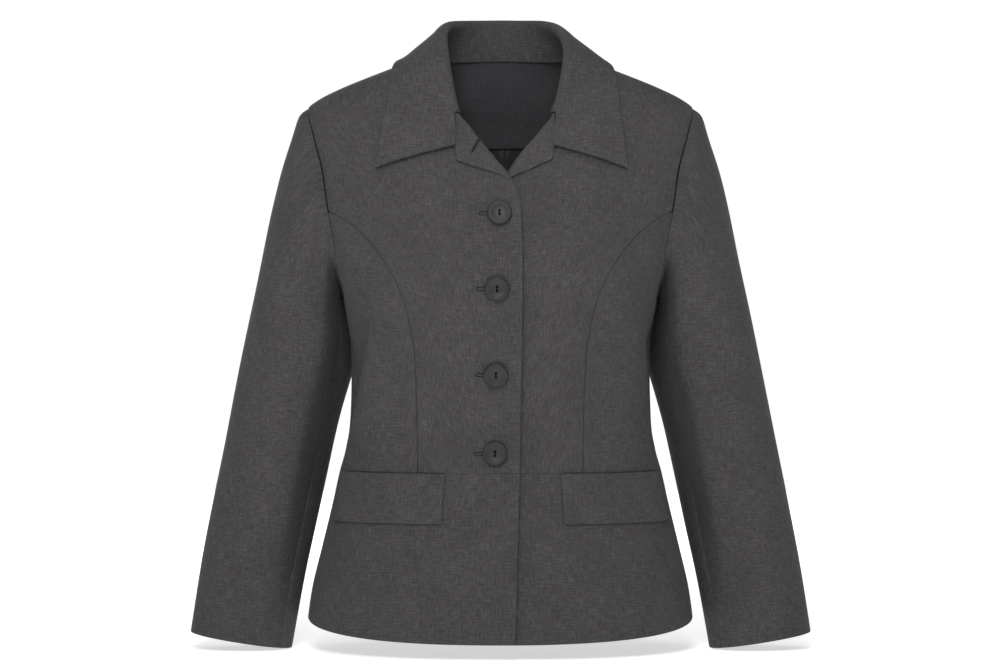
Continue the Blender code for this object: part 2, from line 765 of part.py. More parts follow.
def build_facing():
    """Back neck facing, inside the back panels from shoulder seam to shoulder seam."""
    grid = []
    normals = []
    inside = BODY_CLOTH + LYING_GAP
    for step in even(FACING_ROWS):
        line = []
        facing = []
        for turn in FACING_TURNS:
            low = facing_depth(turn)
            drop = SEAM_GAP + low * step
            normal = body_normal(1, turn, max(drop, 1.0))
            line.append(body_point(1, turn, drop) - normal * inside)
            facing.append(normal)
        grid.append(line)
        normals.append(facing)
    return wall("back_neck_facing", grid, normals, FACING_CLOTH, CLOTH)


def build_lining():
    """Back lining below the facing, with a pleat down its centre."""
    grid = []
    normals = []
    inside = BODY_CLOTH + 2 * LYING_GAP
    for step in even(LINING_ROWS):
        line = []
        facing = []
        for turn in LINING_TURNS:
            high = facing_depth(turn) + 3 * SEAM_GAP
            drop = high + (LINING_END - high) * step
            normal = body_normal(1, turn, drop)
            line.append(body_point(1, turn, drop) - normal * (inside + PLEAT_RISE * (turn in PLEAT_TURNS)))
            facing.append(normal)
        grid.append(line)
        normals.append(facing)
    return wall("back_lining", grid, normals, LINING_CLOTH, LINING)


def build_button(name, x, drop):
    """Turned disc with a raised rim, a dished middle and two holes, one above the other."""
    sides = BUTTON_SIDES
    rings = BUTTON_PROFILE
    vertices = [Vector((0, 0, 0)), Vector((0, 0, BUTTON_DISH))]
    for radius, height in rings:
        for k in range(sides):
            angle = 2 * math.pi * k / sides
            vertices.append(Vector((radius * math.cos(angle), radius * math.sin(angle), height)))
    faces = []
    for k in range(sides):
        after = (k + 1) % sides
        faces.append((0, 2 + after, 2 + k))
        top = 2 + (len(rings) - 1) * sides
        faces.append((1, top + k, top + after))
        for i in range(len(rings) - 1):
            low = 2 + i * sides
            high = low + sides
            faces.append((low + k, low + after, high + after, high + k))
    button = mesh_object(name, vertices, faces, BUTTON, 30.0)
    for end in (-1, 1):
        bpy.ops.mesh.primitive_cylinder_add(
            vertices=10, radius=BUTTON_HOLE * MM, depth=4 * BUTTON_THICK * MM,
            location=(0, end * BUTTON_HOLE_APART * MM, 0))
        cutter = bpy.context.active_object
        cutter.name = f"{name}_hole_{'low' if end < 0 else 'high'}"
        for owner in list(cutter.users_collection):
            owner.objects.unlink(cutter)
        CUTTERS.objects.link(cutter)
        cutter.hide_render = True
        cutter.display_type = "WIRE"
        cut = button.modifiers.new(cutter.name, "BOOLEAN")
        cut.operation = "DIFFERENCE"
        cut.solver = "EXACT"
        cut.object = cutter
        cutter.parent = button
    side = -1 if x < 0 else 1
    turn = turn_at_x(abs(x), drop)
    normal = body_normal(side, turn, drop)
    place = body_point(side, turn, drop) + normal * BUTTON_SEAT
    up = Vector((0, 0, 1))
    across = up.cross(normal).normalized()
    high = normal.cross(across)
    button.matrix_world = matrix_from(across, high, normal, place * MM)
    return button


def matrix_from(x_axis, y_axis, z_axis, place):
    turned = Matrix((x_axis, y_axis, z_axis)).transposed().to_4x4()
    turned.translation = place
    return turned


def material(name, colour, roughness):
    made = bpy.data.materials.new(name)
    made.use_nodes = True
    shader = made.node_tree.nodes["Principled BSDF"]
    shader.inputs["Base Color"].default_value = (*colour, 1.0)
    shader.inputs["Roughness"].default_value = roughness
    return made


for old in list(bpy.data.objects):
    bpy.data.objects.remove(old, do_unlink=True)
PARTS = bpy.data.collections.new("blazer")
CUTTERS = bpy.data.collections.new("cutters")
bpy.context.scene.collection.children.link(PARTS)
bpy.context.scene.collection.children.link(CUTTERS)
CUTTERS.hide_render = True
CLOTH = material("suiting", (0.068, 0.066, 0.067), 0.9)
LINING = material("lining", (0.02, 0.02, 0.02), 0.6)
BUTTON = material("button", (0.03, 0.031, 0.033), 0.4)

for side, word in SIDE_NAMES.items():
    sink = under_lap if side > 0 else None
    body_sheet(f"front_{word}", side, FRONT_ROWS, front_limits(side), FRONT_COLUMNS, BODY_CLOTH, CLOTH, sink)
    body_sheet(f"side_front_{word}", side, SIDE_ROWS, side_limits, even(SIDE_PARTS), BODY_CLOTH, CLOTH)
    body_sheet(f"back_{word}", side, BACK_ROWS, back_limits, even(BACK_PARTS), BODY_CLOTH, CLOTH)
    peplum_sheet(f"peplum_front_{word}", side, lambda d, s=side: turn_at_x(FRONT_EDGE[s](d), d),
                 lambda d: QUARTER_TURN - seam_inset(QUARTER_TURN, d), even(PEPLUM_PARTS), sink)
    upper = tuple(-t for t in reversed(ARMHOLE_TURNS[1:BACK_SEAM + 1])) + ARMHOLE_TURNS[:FRONT_SEAM + 1]
    lower = ARMHOLE_TURNS[FRONT_SEAM:] + tuple(
        2 * HALF_TURN - t for t in reversed(ARMHOLE_TURNS[BACK_SEAM:-1]))
    sleeve_sheet(f"top_sleeve_{word}", side, upper, CUFF_BACK_SHIFT, CUFF_FRONT_SHIFT)
    sleeve_sheet(f"under_sleeve_{word}", side, lower, CUFF_FRONT_SHIFT, CUFF_BACK_SHIFT)
peplum_sheet("peplum_back", 1, lambda d: QUARTER_TURN + seam_inset(QUARTER_TURN, d),
             lambda d: HALF_TURN + QUARTER_TURN - seam_inset(QUARTER_TURN, d), even(PEPLUM_BACK_PARTS))
build_collar()
build_lapel("lapel_right", -1, LAPEL_RIGHT_ROWS)
build_lapel("lapel_left", 1, LAPEL_LEFT_ROWS)
flap_sheet("pocket_flap_right", -1, FLAP_RIGHT)
flap_sheet("pocket_flap_left", 1, FLAP_LEFT)
build_facing()
build_lining()
for button_name, button_x, button_drop in BUTTONS:
    build_button(button_name, button_x, button_drop)
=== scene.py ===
# %% [markdown]
# # A fitted blazer in dark grey suiting
#
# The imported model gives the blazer's size and place as plain solids. This lesson dresses it: each
# solid is replaced by a finer sheet of cloth with soft folds, rounded edges and a woven finish,
# and the buttons are modelled again with their rims, holes and thread.

# %% Load the frame
import json
import math
from functools import partial

import bpy
import numpy as np
from mathutils import Matrix, Vector

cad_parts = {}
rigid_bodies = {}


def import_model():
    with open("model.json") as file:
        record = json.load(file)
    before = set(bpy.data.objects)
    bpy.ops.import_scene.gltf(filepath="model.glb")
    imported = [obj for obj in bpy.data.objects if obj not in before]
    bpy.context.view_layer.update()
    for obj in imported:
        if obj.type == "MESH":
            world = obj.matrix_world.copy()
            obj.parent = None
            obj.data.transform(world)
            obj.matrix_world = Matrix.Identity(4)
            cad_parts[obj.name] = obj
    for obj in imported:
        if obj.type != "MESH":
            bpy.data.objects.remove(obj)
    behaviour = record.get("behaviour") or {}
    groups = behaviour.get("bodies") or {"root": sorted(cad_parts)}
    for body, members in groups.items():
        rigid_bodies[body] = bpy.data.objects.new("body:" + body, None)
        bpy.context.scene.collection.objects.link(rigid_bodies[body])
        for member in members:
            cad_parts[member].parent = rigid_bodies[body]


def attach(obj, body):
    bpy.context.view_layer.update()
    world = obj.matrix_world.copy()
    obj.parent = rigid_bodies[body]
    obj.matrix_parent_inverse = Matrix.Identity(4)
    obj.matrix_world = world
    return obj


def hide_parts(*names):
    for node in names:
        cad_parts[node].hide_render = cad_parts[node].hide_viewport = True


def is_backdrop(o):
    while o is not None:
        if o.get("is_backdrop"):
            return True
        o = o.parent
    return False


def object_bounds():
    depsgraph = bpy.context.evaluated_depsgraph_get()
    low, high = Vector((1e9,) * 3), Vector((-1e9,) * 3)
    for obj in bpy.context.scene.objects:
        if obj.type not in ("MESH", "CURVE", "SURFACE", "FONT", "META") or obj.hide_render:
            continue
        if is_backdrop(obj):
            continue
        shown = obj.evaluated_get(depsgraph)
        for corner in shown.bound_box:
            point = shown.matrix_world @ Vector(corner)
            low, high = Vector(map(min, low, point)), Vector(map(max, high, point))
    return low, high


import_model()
cad_low, cad_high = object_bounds()
bpy.ops.object.select_all(action="DESELECT")
MM = 0.001
print("frame box, mm:", [round(v / MM, 1) for v in (*cad_low, *cad_high)])

# %% [markdown]
# ## Camera
#
# The camera stands 3 m in front, at half the height of the blazer, with a long lens, so the sides
# hardly spread.

# %% Camera
scene = bpy.context.scene
scene.view_settings.view_transform = "Standard"
lens = bpy.data.cameras.new("camera")
lens.lens = 105.04
lens.sensor_width = 36.0
camera = bpy.data.objects.new("camera", lens)
camera.location = (0.0036, -3.0, -0.2866)
camera.rotation_euler = (math.radians(90), 0, 0)
scene.collection.objects.link(camera)
scene.camera = camera
print("lens, mm:", lens.lens)

# %% [markdown]
# ## Room, floor and lamps
#
# A white studio is a lit backdrop in a dim room. Dark wool has no hard highlights, and its hollows go
# dark only because the cloth around them shuts out the light. So the room's light comes mainly from
# behind, where the backdrop is, and it fades towards the camera. What the camera sees past the blazer
# is the backdrop from every side.

# %% Nodes and colours
def linear(code):
    """An sRGB hex colour as linear red, green, blue and alpha."""
    values = [int(code[i:i + 2], 16) / 255 for i in (1, 3, 5)]
    return (*[v / 12.92 if v <= 0.04045 else ((v + 0.055) / 1.055) ** 2.4 for v in values], 1.0)


def add(tree, kind, inputs=None, out=None, **settings):
    """Adds a node and gives it, or one of its outputs. Inputs are numbers or the sockets they come from."""
    made = tree.nodes.new(kind)
    for name, value in settings.items():
        setattr(made, name, value)
    for socket, source in (inputs or {}).items():
        if isinstance(source, bpy.types.NodeSocket):
            tree.links.new(source, made.inputs[socket])
        else:
            made.inputs[socket].default_value = source
    return made if out is None else made.outputs[out]


print("mid grey, linear:", round(linear("#808080")[0], 3))

# %% Backdrop and room
BACKDROP_FROM, BACKDROP_FULL, BACKDROP_STRENGTH, ROOM_STRENGTH = 0.78, 0.96, 1.02, 0.15
world = bpy.data.worlds.new("studio")
world.use_nodes = True
room = world.node_tree
direction = add(room, "ShaderNodeTexCoord", out="Generated")
backwards = add(room, "ShaderNodeSeparateXYZ", {"Vector": direction}, "Y")
strength = add(room, "ShaderNodeMapRange", {
    "Value": backwards, "From Min": BACKDROP_FROM, "From Max": BACKDROP_FULL,
    "To Min": ROOM_STRENGTH, "To Max": BACKDROP_STRENGTH}, "Result", interpolation_type="SMOOTHSTEP")
by_camera = add(room, "ShaderNodeLightPath", out="Is Camera Ray")
seen = add(room, "ShaderNodeMath", {0: by_camera, 1: BACKDROP_STRENGTH}, 0, operation="MULTIPLY")
brighter = add(room, "ShaderNodeMath", {0: seen, 1: strength}, 0, operation="MAXIMUM")
backdrop = room.nodes["Background"]
backdrop.inputs["Color"].default_value = linear("#ffffff")
room.links.new(brighter, backdrop.inputs["Strength"])
scene.world = world
print("backdrop and room:", BACKDROP_STRENGTH, ROOM_STRENGTH)

# %% [markdown]
# The floor is a white board just below the hem. It glows a little, and more with distance, so it
# joins the backdrop with no edge and still takes the soft shadow under the hem and cuffs.

# %% Floor
GLOW_NEAR, GLOW_FAR, GLOW_LOW, GLOW_HIGH = 0.55, 1.5, 0.6, 1.1
FLOOR_SIZE, FLOOR_BELOW = 6.0, 0.5 * MM
board = bpy.data.materials.new("white studio board")
board.use_nodes = True
board_tree = board.node_tree
board_shader = board_tree.nodes["Principled BSDF"]
board_shader.inputs["Base Color"].default_value = linear("#ffffff")
board_shader.inputs["Emission Color"].default_value = linear("#ffffff")
board_shader.inputs["Roughness"].default_value = 0.9
place = add(board_tree, "ShaderNodeTexCoord", out="Object")
away = add(board_tree, "ShaderNodeVectorMath", {0: place}, "Value", operation="LENGTH")
glow = add(board_tree, "ShaderNodeMapRange", {
    "Value": away, "From Min": GLOW_NEAR, "From Max": GLOW_FAR,
    "To Min": GLOW_LOW, "To Max": GLOW_HIGH}, "Result", interpolation_type="SMOOTHSTEP")
board_tree.links.new(glow, board_shader.inputs["Emission Strength"])
bpy.ops.mesh.primitive_plane_add(size=FLOOR_SIZE, location=(0, 0, cad_low[2] - FLOOR_BELOW))
floor = bpy.context.active_object
floor.name = "floor"
floor.data.materials.append(board)
floor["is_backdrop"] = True
print("floor, mm below the origin:", round(-cad_low[2] / MM, 1))

# %% [markdown]
# One large soft lamp high in front shows the weave and rounds the chest. A second one from above
# lights the shoulders and the collar's roll, and one from behind keeps the back readable.

# %% Lamps
LAMPS = (
    # name, place, aim, size in m, power in W
    ("key", (-0.2, -1.7, 1.0), (0, 0, -0.15), 0.7, 20.0),
    ("top", (0.05, -0.6, 1.5), (0, 0, 0), 1.0, 8.5),
    ("back", (-0.5, 2.3, 1.0), (0, 0, -0.2), 1.2, 12.0),
)
for name, place, aim, size, power in LAMPS:
    light = bpy.data.lights.new(name, "AREA")
    light.size = size
    light.energy = power
    lamp = bpy.data.objects.new(name, light)
    lamp.location = place
    lamp.rotation_euler = (Vector(aim) - Vector(place)).to_track_quat("-Z", "Y").to_euler()
    scene.collection.objects.link(lamp)
print("lamps:", len(LAMPS))

# %% [markdown]
# ## The finishes
#
# Each finish starts from what the real one is and how it was made. One helper opens a material, and
# one joins its colour and its relief to the shader and sets what is the same all over.

# %% Opening and joining a finish
def begin_finish(name):
    """A new material, with its node tree and its shader."""
    made = bpy.data.materials.new(name)
    made.use_nodes = True
    return made, made.node_tree, made.node_tree.nodes["Principled BSDF"]


def join_finish(tree, shader, colour, height, strength, depth, **values):
    """Joins a colour and a relief of this depth in mm to the shader, and sets its other values."""
    bump = {"Height": height, "Strength": strength, "Distance": depth * MM}
    tree.links.new(add(tree, "ShaderNodeBump", bump, "Normal"), shader.inputs["Normal"])
    tree.links.new(colour, shader.inputs["Base Color"])
    for name, value in values.items():
        shader.inputs[name.replace("_", " ")].default_value = value


def streaks(tree, cut, wide, long, detail=2.0):
    """Soft streaks, this wide across and this long down the cloth."""
    stretched = add(tree, "ShaderNodeMapping", {"Vector": cut, "Scale": (1 / wide, 1 / long, 1.0)}, "Vector")
    noise = {"Vector": stretched, "Scale": 1.0, "Detail": detail, "Roughness": 0.6}
    return add(tree, "ShaderNodeTexNoise", noise, "Fac")


print("materials before the finishes:", len(bpy.data.materials))

# %% [markdown]
# **Suiting** is a wool blend in plain weave, one thread over and one under. Its yarns are spun from
# dyed grey fibres of several depths, so single threads read lighter or darker along their length: the
# heather. The threads are about 0.45 mm apart, finer than a point of the picture, so the weave is
# drawn at 0.9 mm and the slubs at about 1.3 mm by 11 mm, along and across the grain. The pattern reads
# the sheet's own map, which is the flat cut in metres, so it turns with each piece as real grain does.
#
# The **back neck facing** is the same cloth with its wrong side fused to interlining and pressed hard,
# so it is smoother, and its heather shows less. Its colours are a little darker and cooler than the
# suiting's; the darkening is painted shade for the inside of the neck.

# %% Suiting
THREAD_STEP, SLUB_WIDE, SLUB_LONG = 0.9 * MM, 1.3 * MM, 11.0 * MM
CLOUD_WIDE, CLOUD_LONG, CLOUD_SHARE = 38 * MM, 55 * MM, 0.3
FLECK_SHARE, YARNS_MEAN, WEAVE_RELIEF, YARN_RELIEF = 0.6, 1.3, 0.35, 1.5


def woven(name, colours, roughness, contrast, bump):
    """Plain-woven wool: heather in the colour, yarns and their crossings in the relief."""
    made, tree, shader = begin_finish(name)
    cut = add(tree, "ShaderNodeUVMap", out="UV", uv_map="cut")
    warp = streaks(tree, cut, SLUB_WIDE, SLUB_LONG)
    weft = streaks(tree, cut, SLUB_LONG, SLUB_WIDE)
    fleck = streaks(tree, cut, SLUB_WIDE, SLUB_WIDE)
    cloud = streaks(tree, cut, CLOUD_WIDE, CLOUD_LONG, 3.0)
    crossed = add(tree, "ShaderNodeMath", {0: warp, 1: weft}, 0, operation="ADD")
    yarns = add(tree, "ShaderNodeMath", {0: fleck, 1: FLECK_SHARE, 2: crossed}, 0, operation="MULTIPLY_ADD")
    evened = 0.5 - YARNS_MEAN * contrast - CLOUD_SHARE / 2
    heather = add(tree, "ShaderNodeMath", {0: yarns, 1: contrast, 2: evened}, 0, operation="MULTIPLY_ADD")
    mixed = add(tree, "ShaderNodeMath", {0: cloud, 1: CLOUD_SHARE, 2: heather}, 0, operation="MULTIPLY_ADD")
    ramp = add(tree, "ShaderNodeValToRGB", {"Fac": mixed})
    stops = ramp.color_ramp.elements
    stops.new(0.5)
    for stop, code in zip(stops, colours):
        stop.color = linear(code)
    parts = add(tree, "ShaderNodeSeparateXYZ", {"Vector": cut})
    waves = []
    for axis in ("X", "Y"):
        turns = {0: parts.outputs[axis], 1: math.pi / THREAD_STEP}
        phase = add(tree, "ShaderNodeMath", turns, 0, operation="MULTIPLY")
        waves.append(add(tree, "ShaderNodeMath", {0: phase}, 0, operation="SINE"))
    over_under = add(tree, "ShaderNodeMath", {0: waves[0], 1: waves[1]}, 0, operation="MULTIPLY")
    weave = add(tree, "ShaderNodeMath", {0: over_under, 1: WEAVE_RELIEF}, 0, operation="MULTIPLY")
    height = add(tree, "ShaderNodeMath", {0: yarns, 1: YARN_RELIEF, 2: weave}, 0, operation="MULTIPLY_ADD")
    join_finish(tree, shader, ramp.outputs["Color"], height, bump, 0.08, Roughness=roughness, IOR=1.45,
                Specular_IOR_Level=0.25, Sheen_Weight=0.05, Sheen_Roughness=0.5)
    return made


suiting = woven("wool-blend suiting", ("#2b292a", "#434142", "#615e5f"), 0.88, 0.78, 0.3)
# The facing's colours are darker than the suiting's: painted shade for the inside of the neck.
facing_suiting_painted_shade = woven("wool-blend suiting, pressed, painted shade", ("#29292b", "#3f3e41", "#5b5a5e"), 0.85, 0.4, 0.15)
print("threads drawn, mm apart:", round(THREAD_STEP / MM, 2))

# %% [markdown]
# **Lining** is a fine viscose twill. It is smoother and darker than the suiting, with a soft sheen
# and diagonal ribs about 0.35 mm apart, drawn at 1.1 mm because finer ones would not show.

# %% Lining
# Diagonal bands are 0.444 apart at scale 1.
BAND_STEP, RIB_SCALE = 0.444, 387.5
lining, tree, shader = begin_finish("viscose twill lining")
cut = add(tree, "ShaderNodeUVMap", out="UV", uv_map="cut")
wave = {"Vector": cut, "Scale": RIB_SCALE, "Distortion": 0.4}
ribs = add(tree, "ShaderNodeTexWave", wave, "Fac", wave_type="BANDS", bands_direction="DIAGONAL")
tones = {"Factor": ribs, "A": linear("#272729"), "B": linear("#333336")}
colour = add(tree, "ShaderNodeMix", tones, "Result", data_type="RGBA")
join_finish(tree, shader, colour, ribs, 0.3, 0.05, Roughness=0.5, Sheen_Weight=0.15)
print("lining ribs, mm apart:", round(BAND_STEP / RIB_SCALE / MM, 2))

# %% [markdown]
# **Buttons** are moulded polyester in dark grey, turned on their face and tumbled to a satin shine.
# The resin is faintly cloudy, about 4 mm across a cloud, and tumbling leaves scuffs under 1 mm long.

# %% Button resin
CLOUDS_A_METRE, SCUFFS_A_METRE = 260.0, 1500.0
button_resin, tree, shader = begin_finish("satin polyester button")
place = add(tree, "ShaderNodeTexCoord", out="Object")
clouds = add(tree, "ShaderNodeTexNoise", {"Vector": place, "Scale": CLOUDS_A_METRE, "Detail": 4.0}, "Fac")
scuffs = add(tree, "ShaderNodeTexNoise", {"Vector": place, "Scale": SCUFFS_A_METRE, "Detail": 2.0}, "Fac")
tones = {"Factor": clouds, "A": linear("#262629"), "B": linear("#37373b")}
colour = add(tree, "ShaderNodeMix", tones, "Result", data_type="RGBA")
join_finish(tree, shader, colour, scuffs, 0.12, 0.05, Roughness=0.5, Specular_IOR_Level=0.3,
            IOR=1.54)
print("button clouds, mm:", round(1000 / CLOUDS_A_METRE, 1))

# %% [markdown]
# The **thread** is spun polyester, near black and matt, with a twist of about 0.5 mm.

# %% Thread
TWISTS_A_METRE = 1800.0
thread, tree, shader = begin_finish("spun polyester thread")
place = add(tree, "ShaderNodeTexCoord", out="Object")
twist = add(tree, "ShaderNodeTexNoise", {"Vector": place, "Scale": TWISTS_A_METRE, "Detail": 2.0}, "Fac")
tones = {"Factor": twist, "A": linear("#0b0b0c"), "B": linear("#19191b")}
colour = add(tree, "ShaderNodeMix", tones, "Result", data_type="RGBA")
join_finish(tree, shader, colour, twist, 0.5, 0.1, Roughness=0.9, Specular_IOR_Level=0.15)
print("thread twist, mm:", round(1000 / TWISTS_A_METRE, 2))

# %% [markdown]
# ## The form of the body
#
# A tailor fits a blazer by levels: neck, shoulder, chest, waist, hip. The tables below do the same,
# in millimetres. Each row is one level, and "drop" is how far it lies below the neck points. A
# smooth curve joins the rows, and each level is a rounded oval between its side, front and back.
# Sculpting could give such a form too, but a table keeps every girth known and both sides even.

# %% Tables of the body
BODY_CLOTH, SLEEVE_CLOTH, COLLAR_CLOTH, LAPEL_CLOTH, FLAP_CLOTH = 2.0, 1.6, 2.4, 1.8, 2.2
FACING_CLOTH, LINING_CLOTH = 1.2, 1.0
SEAM_GAP, LYING_GAP, LAPEL_GAP = 0.3, 0.6, 0.9
ROUNDNESS = 2.3
SHOULDER_TIP, UNDERARM, PRINCESS_TOP, WAIST_SEAM = 55.0, 250.0, 162.0, 422.0
HEM_SIDE, HEM_FRONT, HEM_ROUND = 570.0, 587.5, 1.9
BUST_RISE, BUST_X, BUST_DROP, BUST_WIDTH, BUST_HEIGHT = 12.0, 85.0, 215.0, 45.0, 62.0

# Half widths and depths of the body's levels.
BODY = (("drop", "half_width", "side_y", "front_y", "back_y"), (
    (0, 75, 0, -28, 70),
    (14.2, 111.5, 0, -44, 72),
    (35.7, 164.7, 0, -58, 75),
    (46, 185, 0, -63, 77),
    (55, 196.5, 0, -67, 79),
    (66, 200.5, 0, -73, 82),
    (85, 201.5, 0, -82, 88),
    (120, 195, -2, -96, 98),
    (160, 187.5, -4, -111, 107),
    (200, 177, -6, -122, 112),
    (225, 168.5, -7, -126, 112),
    (250, 161, -8, -126, 110),
    (272, 156, -10, -122, 107),
    (297, 152.8, -13, -117, 103),
    (327, 152.5, -14, -111, 100),
    (373, 153.5, -12, -106, 98),
    (400, 156.8, -10, -108, 100),
    (422, 163, -8, -112, 103),
    (454, 170.5, -6, -119, 110),
    (500, 181.5, -4, -128, 120),
    (546, 192, -3, -136, 128),
    (590, 198, -2, -142, 134),
))
# The armhole seen from the side; turn runs from its top through the front or the back to the underarm.
ARMHOLE = (("turn", "front_y", "back_y"), (
    (0, 0, 0),
    (22.5, -19, 20),
    (45, -34, 36),
    (67.5, -45, 47),
    (90, -52, 54),
    (112.5, -56, 56),
    (135, -49, 46),
    (157.5, -32, 24),
    (180, -8, -8),
))
# The two front edges: how far each stands from the middle on its own side, and below 0 past it.
FRONT_EDGE = (("drop", "right_x", "left_x"), (
    (0, 71, 71),
    (8, 68.5, 69.5),
    (20, 63, 68.2),
    (34, 57, 67),
    (48, 52, 64.8),
    (60, 47, 60.4),
    (68, 42.5, 54),
    (77, 34, 46),
    (90, 24.6, 35.5),
    (101, 15.4, 25.5),
    (116, 3.4, 14),
    (122, -3.4, 11),
    (126, -6.8, 8.6),
    (129, -9.6, 6.6),
    (134, -12.4, 1),
    (140, -14.9, -7),
    (153, -18.8, -17),
    (175, -21, -21),
    (211, -22, -21.5),
    (300, -21.1, -20.5),
    (422, -19, -19),
    (590, -14.4, -17),
))
# The princess seam, from the armhole to the waist.
PRINCESS = (("drop", "x"), (
    (162, 172.9),
    (168, 160),
    (177, 147),
    (192, 131),
    (210, 117),
    (231, 104),
    (255, 94.5),
    (278, 89),
    (303, 85),
    (347, 83),
    (422, 81.5),
))
print("levels of the body:", len(BODY[1]))

# %% [markdown]
# A curve through a table never swings past its rows: its slope at a row is the harmonic mean of the
# slopes on both sides, and it lies level where they differ in sign.

# %% Curves through the tables
def curve(table, name):
    """Smooth function through one column of a table, with no overshoot between its rows."""
    head, rows = table
    at = np.array([row[0] for row in rows], float)
    is_ = np.array([row[head.index(name)] for row in rows], float)
    steps = np.diff(is_) / np.diff(at)
    middle = [2 * a * b / (a + b) if a * b > 0 else 0.0 for a, b in zip(steps, steps[1:])]
    slopes = np.array([steps[0], *middle, steps[-1]])

    def value(x):
        x = np.asarray(x, float)
        i = np.clip(np.searchsorted(at, x, side="right") - 1, 0, len(at) - 2)
        width = at[i + 1] - at[i]
        t = np.clip((x - at[i]) / width, 0, 1)
        start = (1 + 2 * t) * (1 - t) ** 2 * is_[i] + t * (1 - t) ** 2 * width * slopes[i]
        end = t * t * (3 - 2 * t) * is_[i + 1] + t * t * (t - 1) * width * slopes[i + 1]
        beyond = np.minimum(x - at[0], 0) * slopes[0] + np.maximum(x - at[-1], 0) * slopes[-1]
        return start + end + beyond

    return value


half_width, side_y, front_y, back_y = (curve(BODY, name) for name in BODY[0][1:])
armhole_front, armhole_back = (curve(ARMHOLE, name) for name in ARMHOLE[0][1:])
princess_x = curve(PRINCESS, "x")
front_edge = {-1: curve(FRONT_EDGE, "right_x"), 1: curve(FRONT_EDGE, "left_x")}
print("chest half width, mm:", round(float(half_width(BUST_DROP)), 1))

# %% [markdown]
# Four small shapes serve all the pieces: a signed power for rounded ovals, a smooth step, a round hill
# and a window that opens and closes smoothly.

# %% Small shapes
def power(value, exponent):
    return np.copysign(np.abs(value) ** exponent, value)


def smooth(value):
    value = np.clip(value, 0, 1)
    return value * value * (3 - 2 * value)


def hill(value):
    return np.exp(-value * value)


def window(value, low, high, opens, closes):
    """1 between low and high, going to 0 over these widths inside them."""
    return smooth((value - low) / opens) * smooth((high - value) / closes)


def unit(vectors):
    return vectors / np.maximum(np.linalg.norm(vectors, axis=-1, keepdims=True), 1e-9)


print("a window from 0 to 4 that opens over 1, at 0.5:", float(window(0.5, 0, 4, 1, 1)))

# %% [markdown]
# A level of the body is an oval with slightly squared corners. A point is found by its turn: 0 at the
# centre front, 90 at the side and 180 at the centre back. The bust adds a low round hill on each
# front, where the princess seam gives its fullness.

# %% Points of the body
def body(side, turn, drop):
    """Points on the outside of the body; turn runs from 0 at the centre front to 180 at the back."""
    turn, drop = np.broadcast_arrays(np.asarray(turn, float), np.asarray(drop, float))
    s, c = np.sin(np.radians(turn)), np.cos(np.radians(turn))
    x = half_width(drop) * power(s, 2 / ROUNDNESS)
    middle = side_y(drop)
    reach = np.where(c > 0, middle - front_y(drop), back_y(drop) - middle)
    y = middle - reach * power(c, 2 / ROUNDNESS)
    bust = hill((np.abs(x) - BUST_X) / BUST_WIDTH) * hill((drop - BUST_DROP) / BUST_HEIGHT)
    y = y - BUST_RISE * bust * np.sqrt(np.clip(c, 0, 1))
    return np.stack([side * x, y, -drop], axis=-1)


def body_out(side, turn, drop, near=0.4):
    """Which way is straight out of the body, from four points near by."""
    turn, drop = np.asarray(turn, float), np.asarray(drop, float)
    across = body(side, turn + near, drop) - body(side, turn - near, drop)
    down = body(side, turn, drop + near) - body(side, turn, drop - near)
    return unit(np.cross(across, down) * -side)


def turn_at(x, drop):
    """Turn of the front point this far from the middle."""
    share = np.clip(np.abs(x) / half_width(drop), 0, 1)
    return np.copysign(np.degrees(np.arcsin(share ** (ROUNDNESS / 2))), x)


waist_depth = float(back_y(WAIST_SEAM) - front_y(WAIST_SEAM))
print("waist, mm wide and deep:", round(2 * float(half_width(WAIST_SEAM))), round(waist_depth))

# %% [markdown]
# ## Folds
#
# Pressed suiting lies almost flat, yet no cloth on a body is quite smooth. The sides of the front
# drop back below the armhole in a long soft break, and shallow ridges and hollows lie over the waist
# and hips. They are listed one row each: where a fold starts and ends, how wide it is, and
# how far it rises or sinks. A slow waviness under 0.5 mm keeps the rest from looking machined.

# %% Folds of the body
BODY_FOLDS = (
    # face (-1 front, 1 back), start x, start drop, end x, end drop, width, height
    (-1, -116, 250, -149, 396, 7.0, 3.2),
    (-1, -133, 250, -165, 398, 8.5, -10.0),
    (-1, 139, 282, 147, 372, 8.0, 1.5),
    (-1, 152, 262, 160, 400, 7.0, -5.0),
    (-1, -166, 216, -156, 340, 6.0, -3.5),
    (-1, 166, 216, 156, 330, 6.0, -3.5),
    (-1, -112, 250, -128, 350, 9.0, -0.6),
    (-1, 120, 262, 131, 356, 9.0, -0.5),
    (-1, -60, 300, -52, 408, 12.0, -0.6),
    (-1, 48, 290, 57, 402, 12.0, -0.5),
    (-1, -150, 150, -118, 196, 9.0, -0.7),
    (-1, 152, 148, 121, 199, 9.0, -0.8),
    (-1, -96, 440, -118, 560, 22.0, 1.2),
    (-1, 101, 446, 122, 566, 24.0, 1.0),
    (-1, -52, 470, -58, 572, 18.0, -0.8),
    (-1, 58, 466, 66, 574, 18.0, -0.8),
    (1, -120, 300, -146, 394, 8.0, 1.4),
    (1, 122, 296, 145, 388, 8.0, 1.2),
    (1, -62, 330, -88, 414, 12.0, -1.0),
    (1, 66, 340, 84, 410, 12.0, -0.8),
    (1, -70, 140, -96, 250, 16.0, -0.9),
    (1, 74, 146, 92, 258, 16.0, -0.8),
    (1, -60, 440, -78, 566, 22.0, 1.3),
    (1, 66, 446, 80, 568, 22.0, 1.1),
)
print("folds placed by hand on the body:", len(BODY_FOLDS))

# %% [markdown]
# A fold is a round hill across its line that fades out at both ends. The front's folds fade into the
# back's round the side.

# %% Lift of the folds
SIDE_BLEND, WAVE_TOP, WAVE_FADE, WAVE_WIDE, WAVE_FINE = 24, 150, 90, 0.28, 0.14


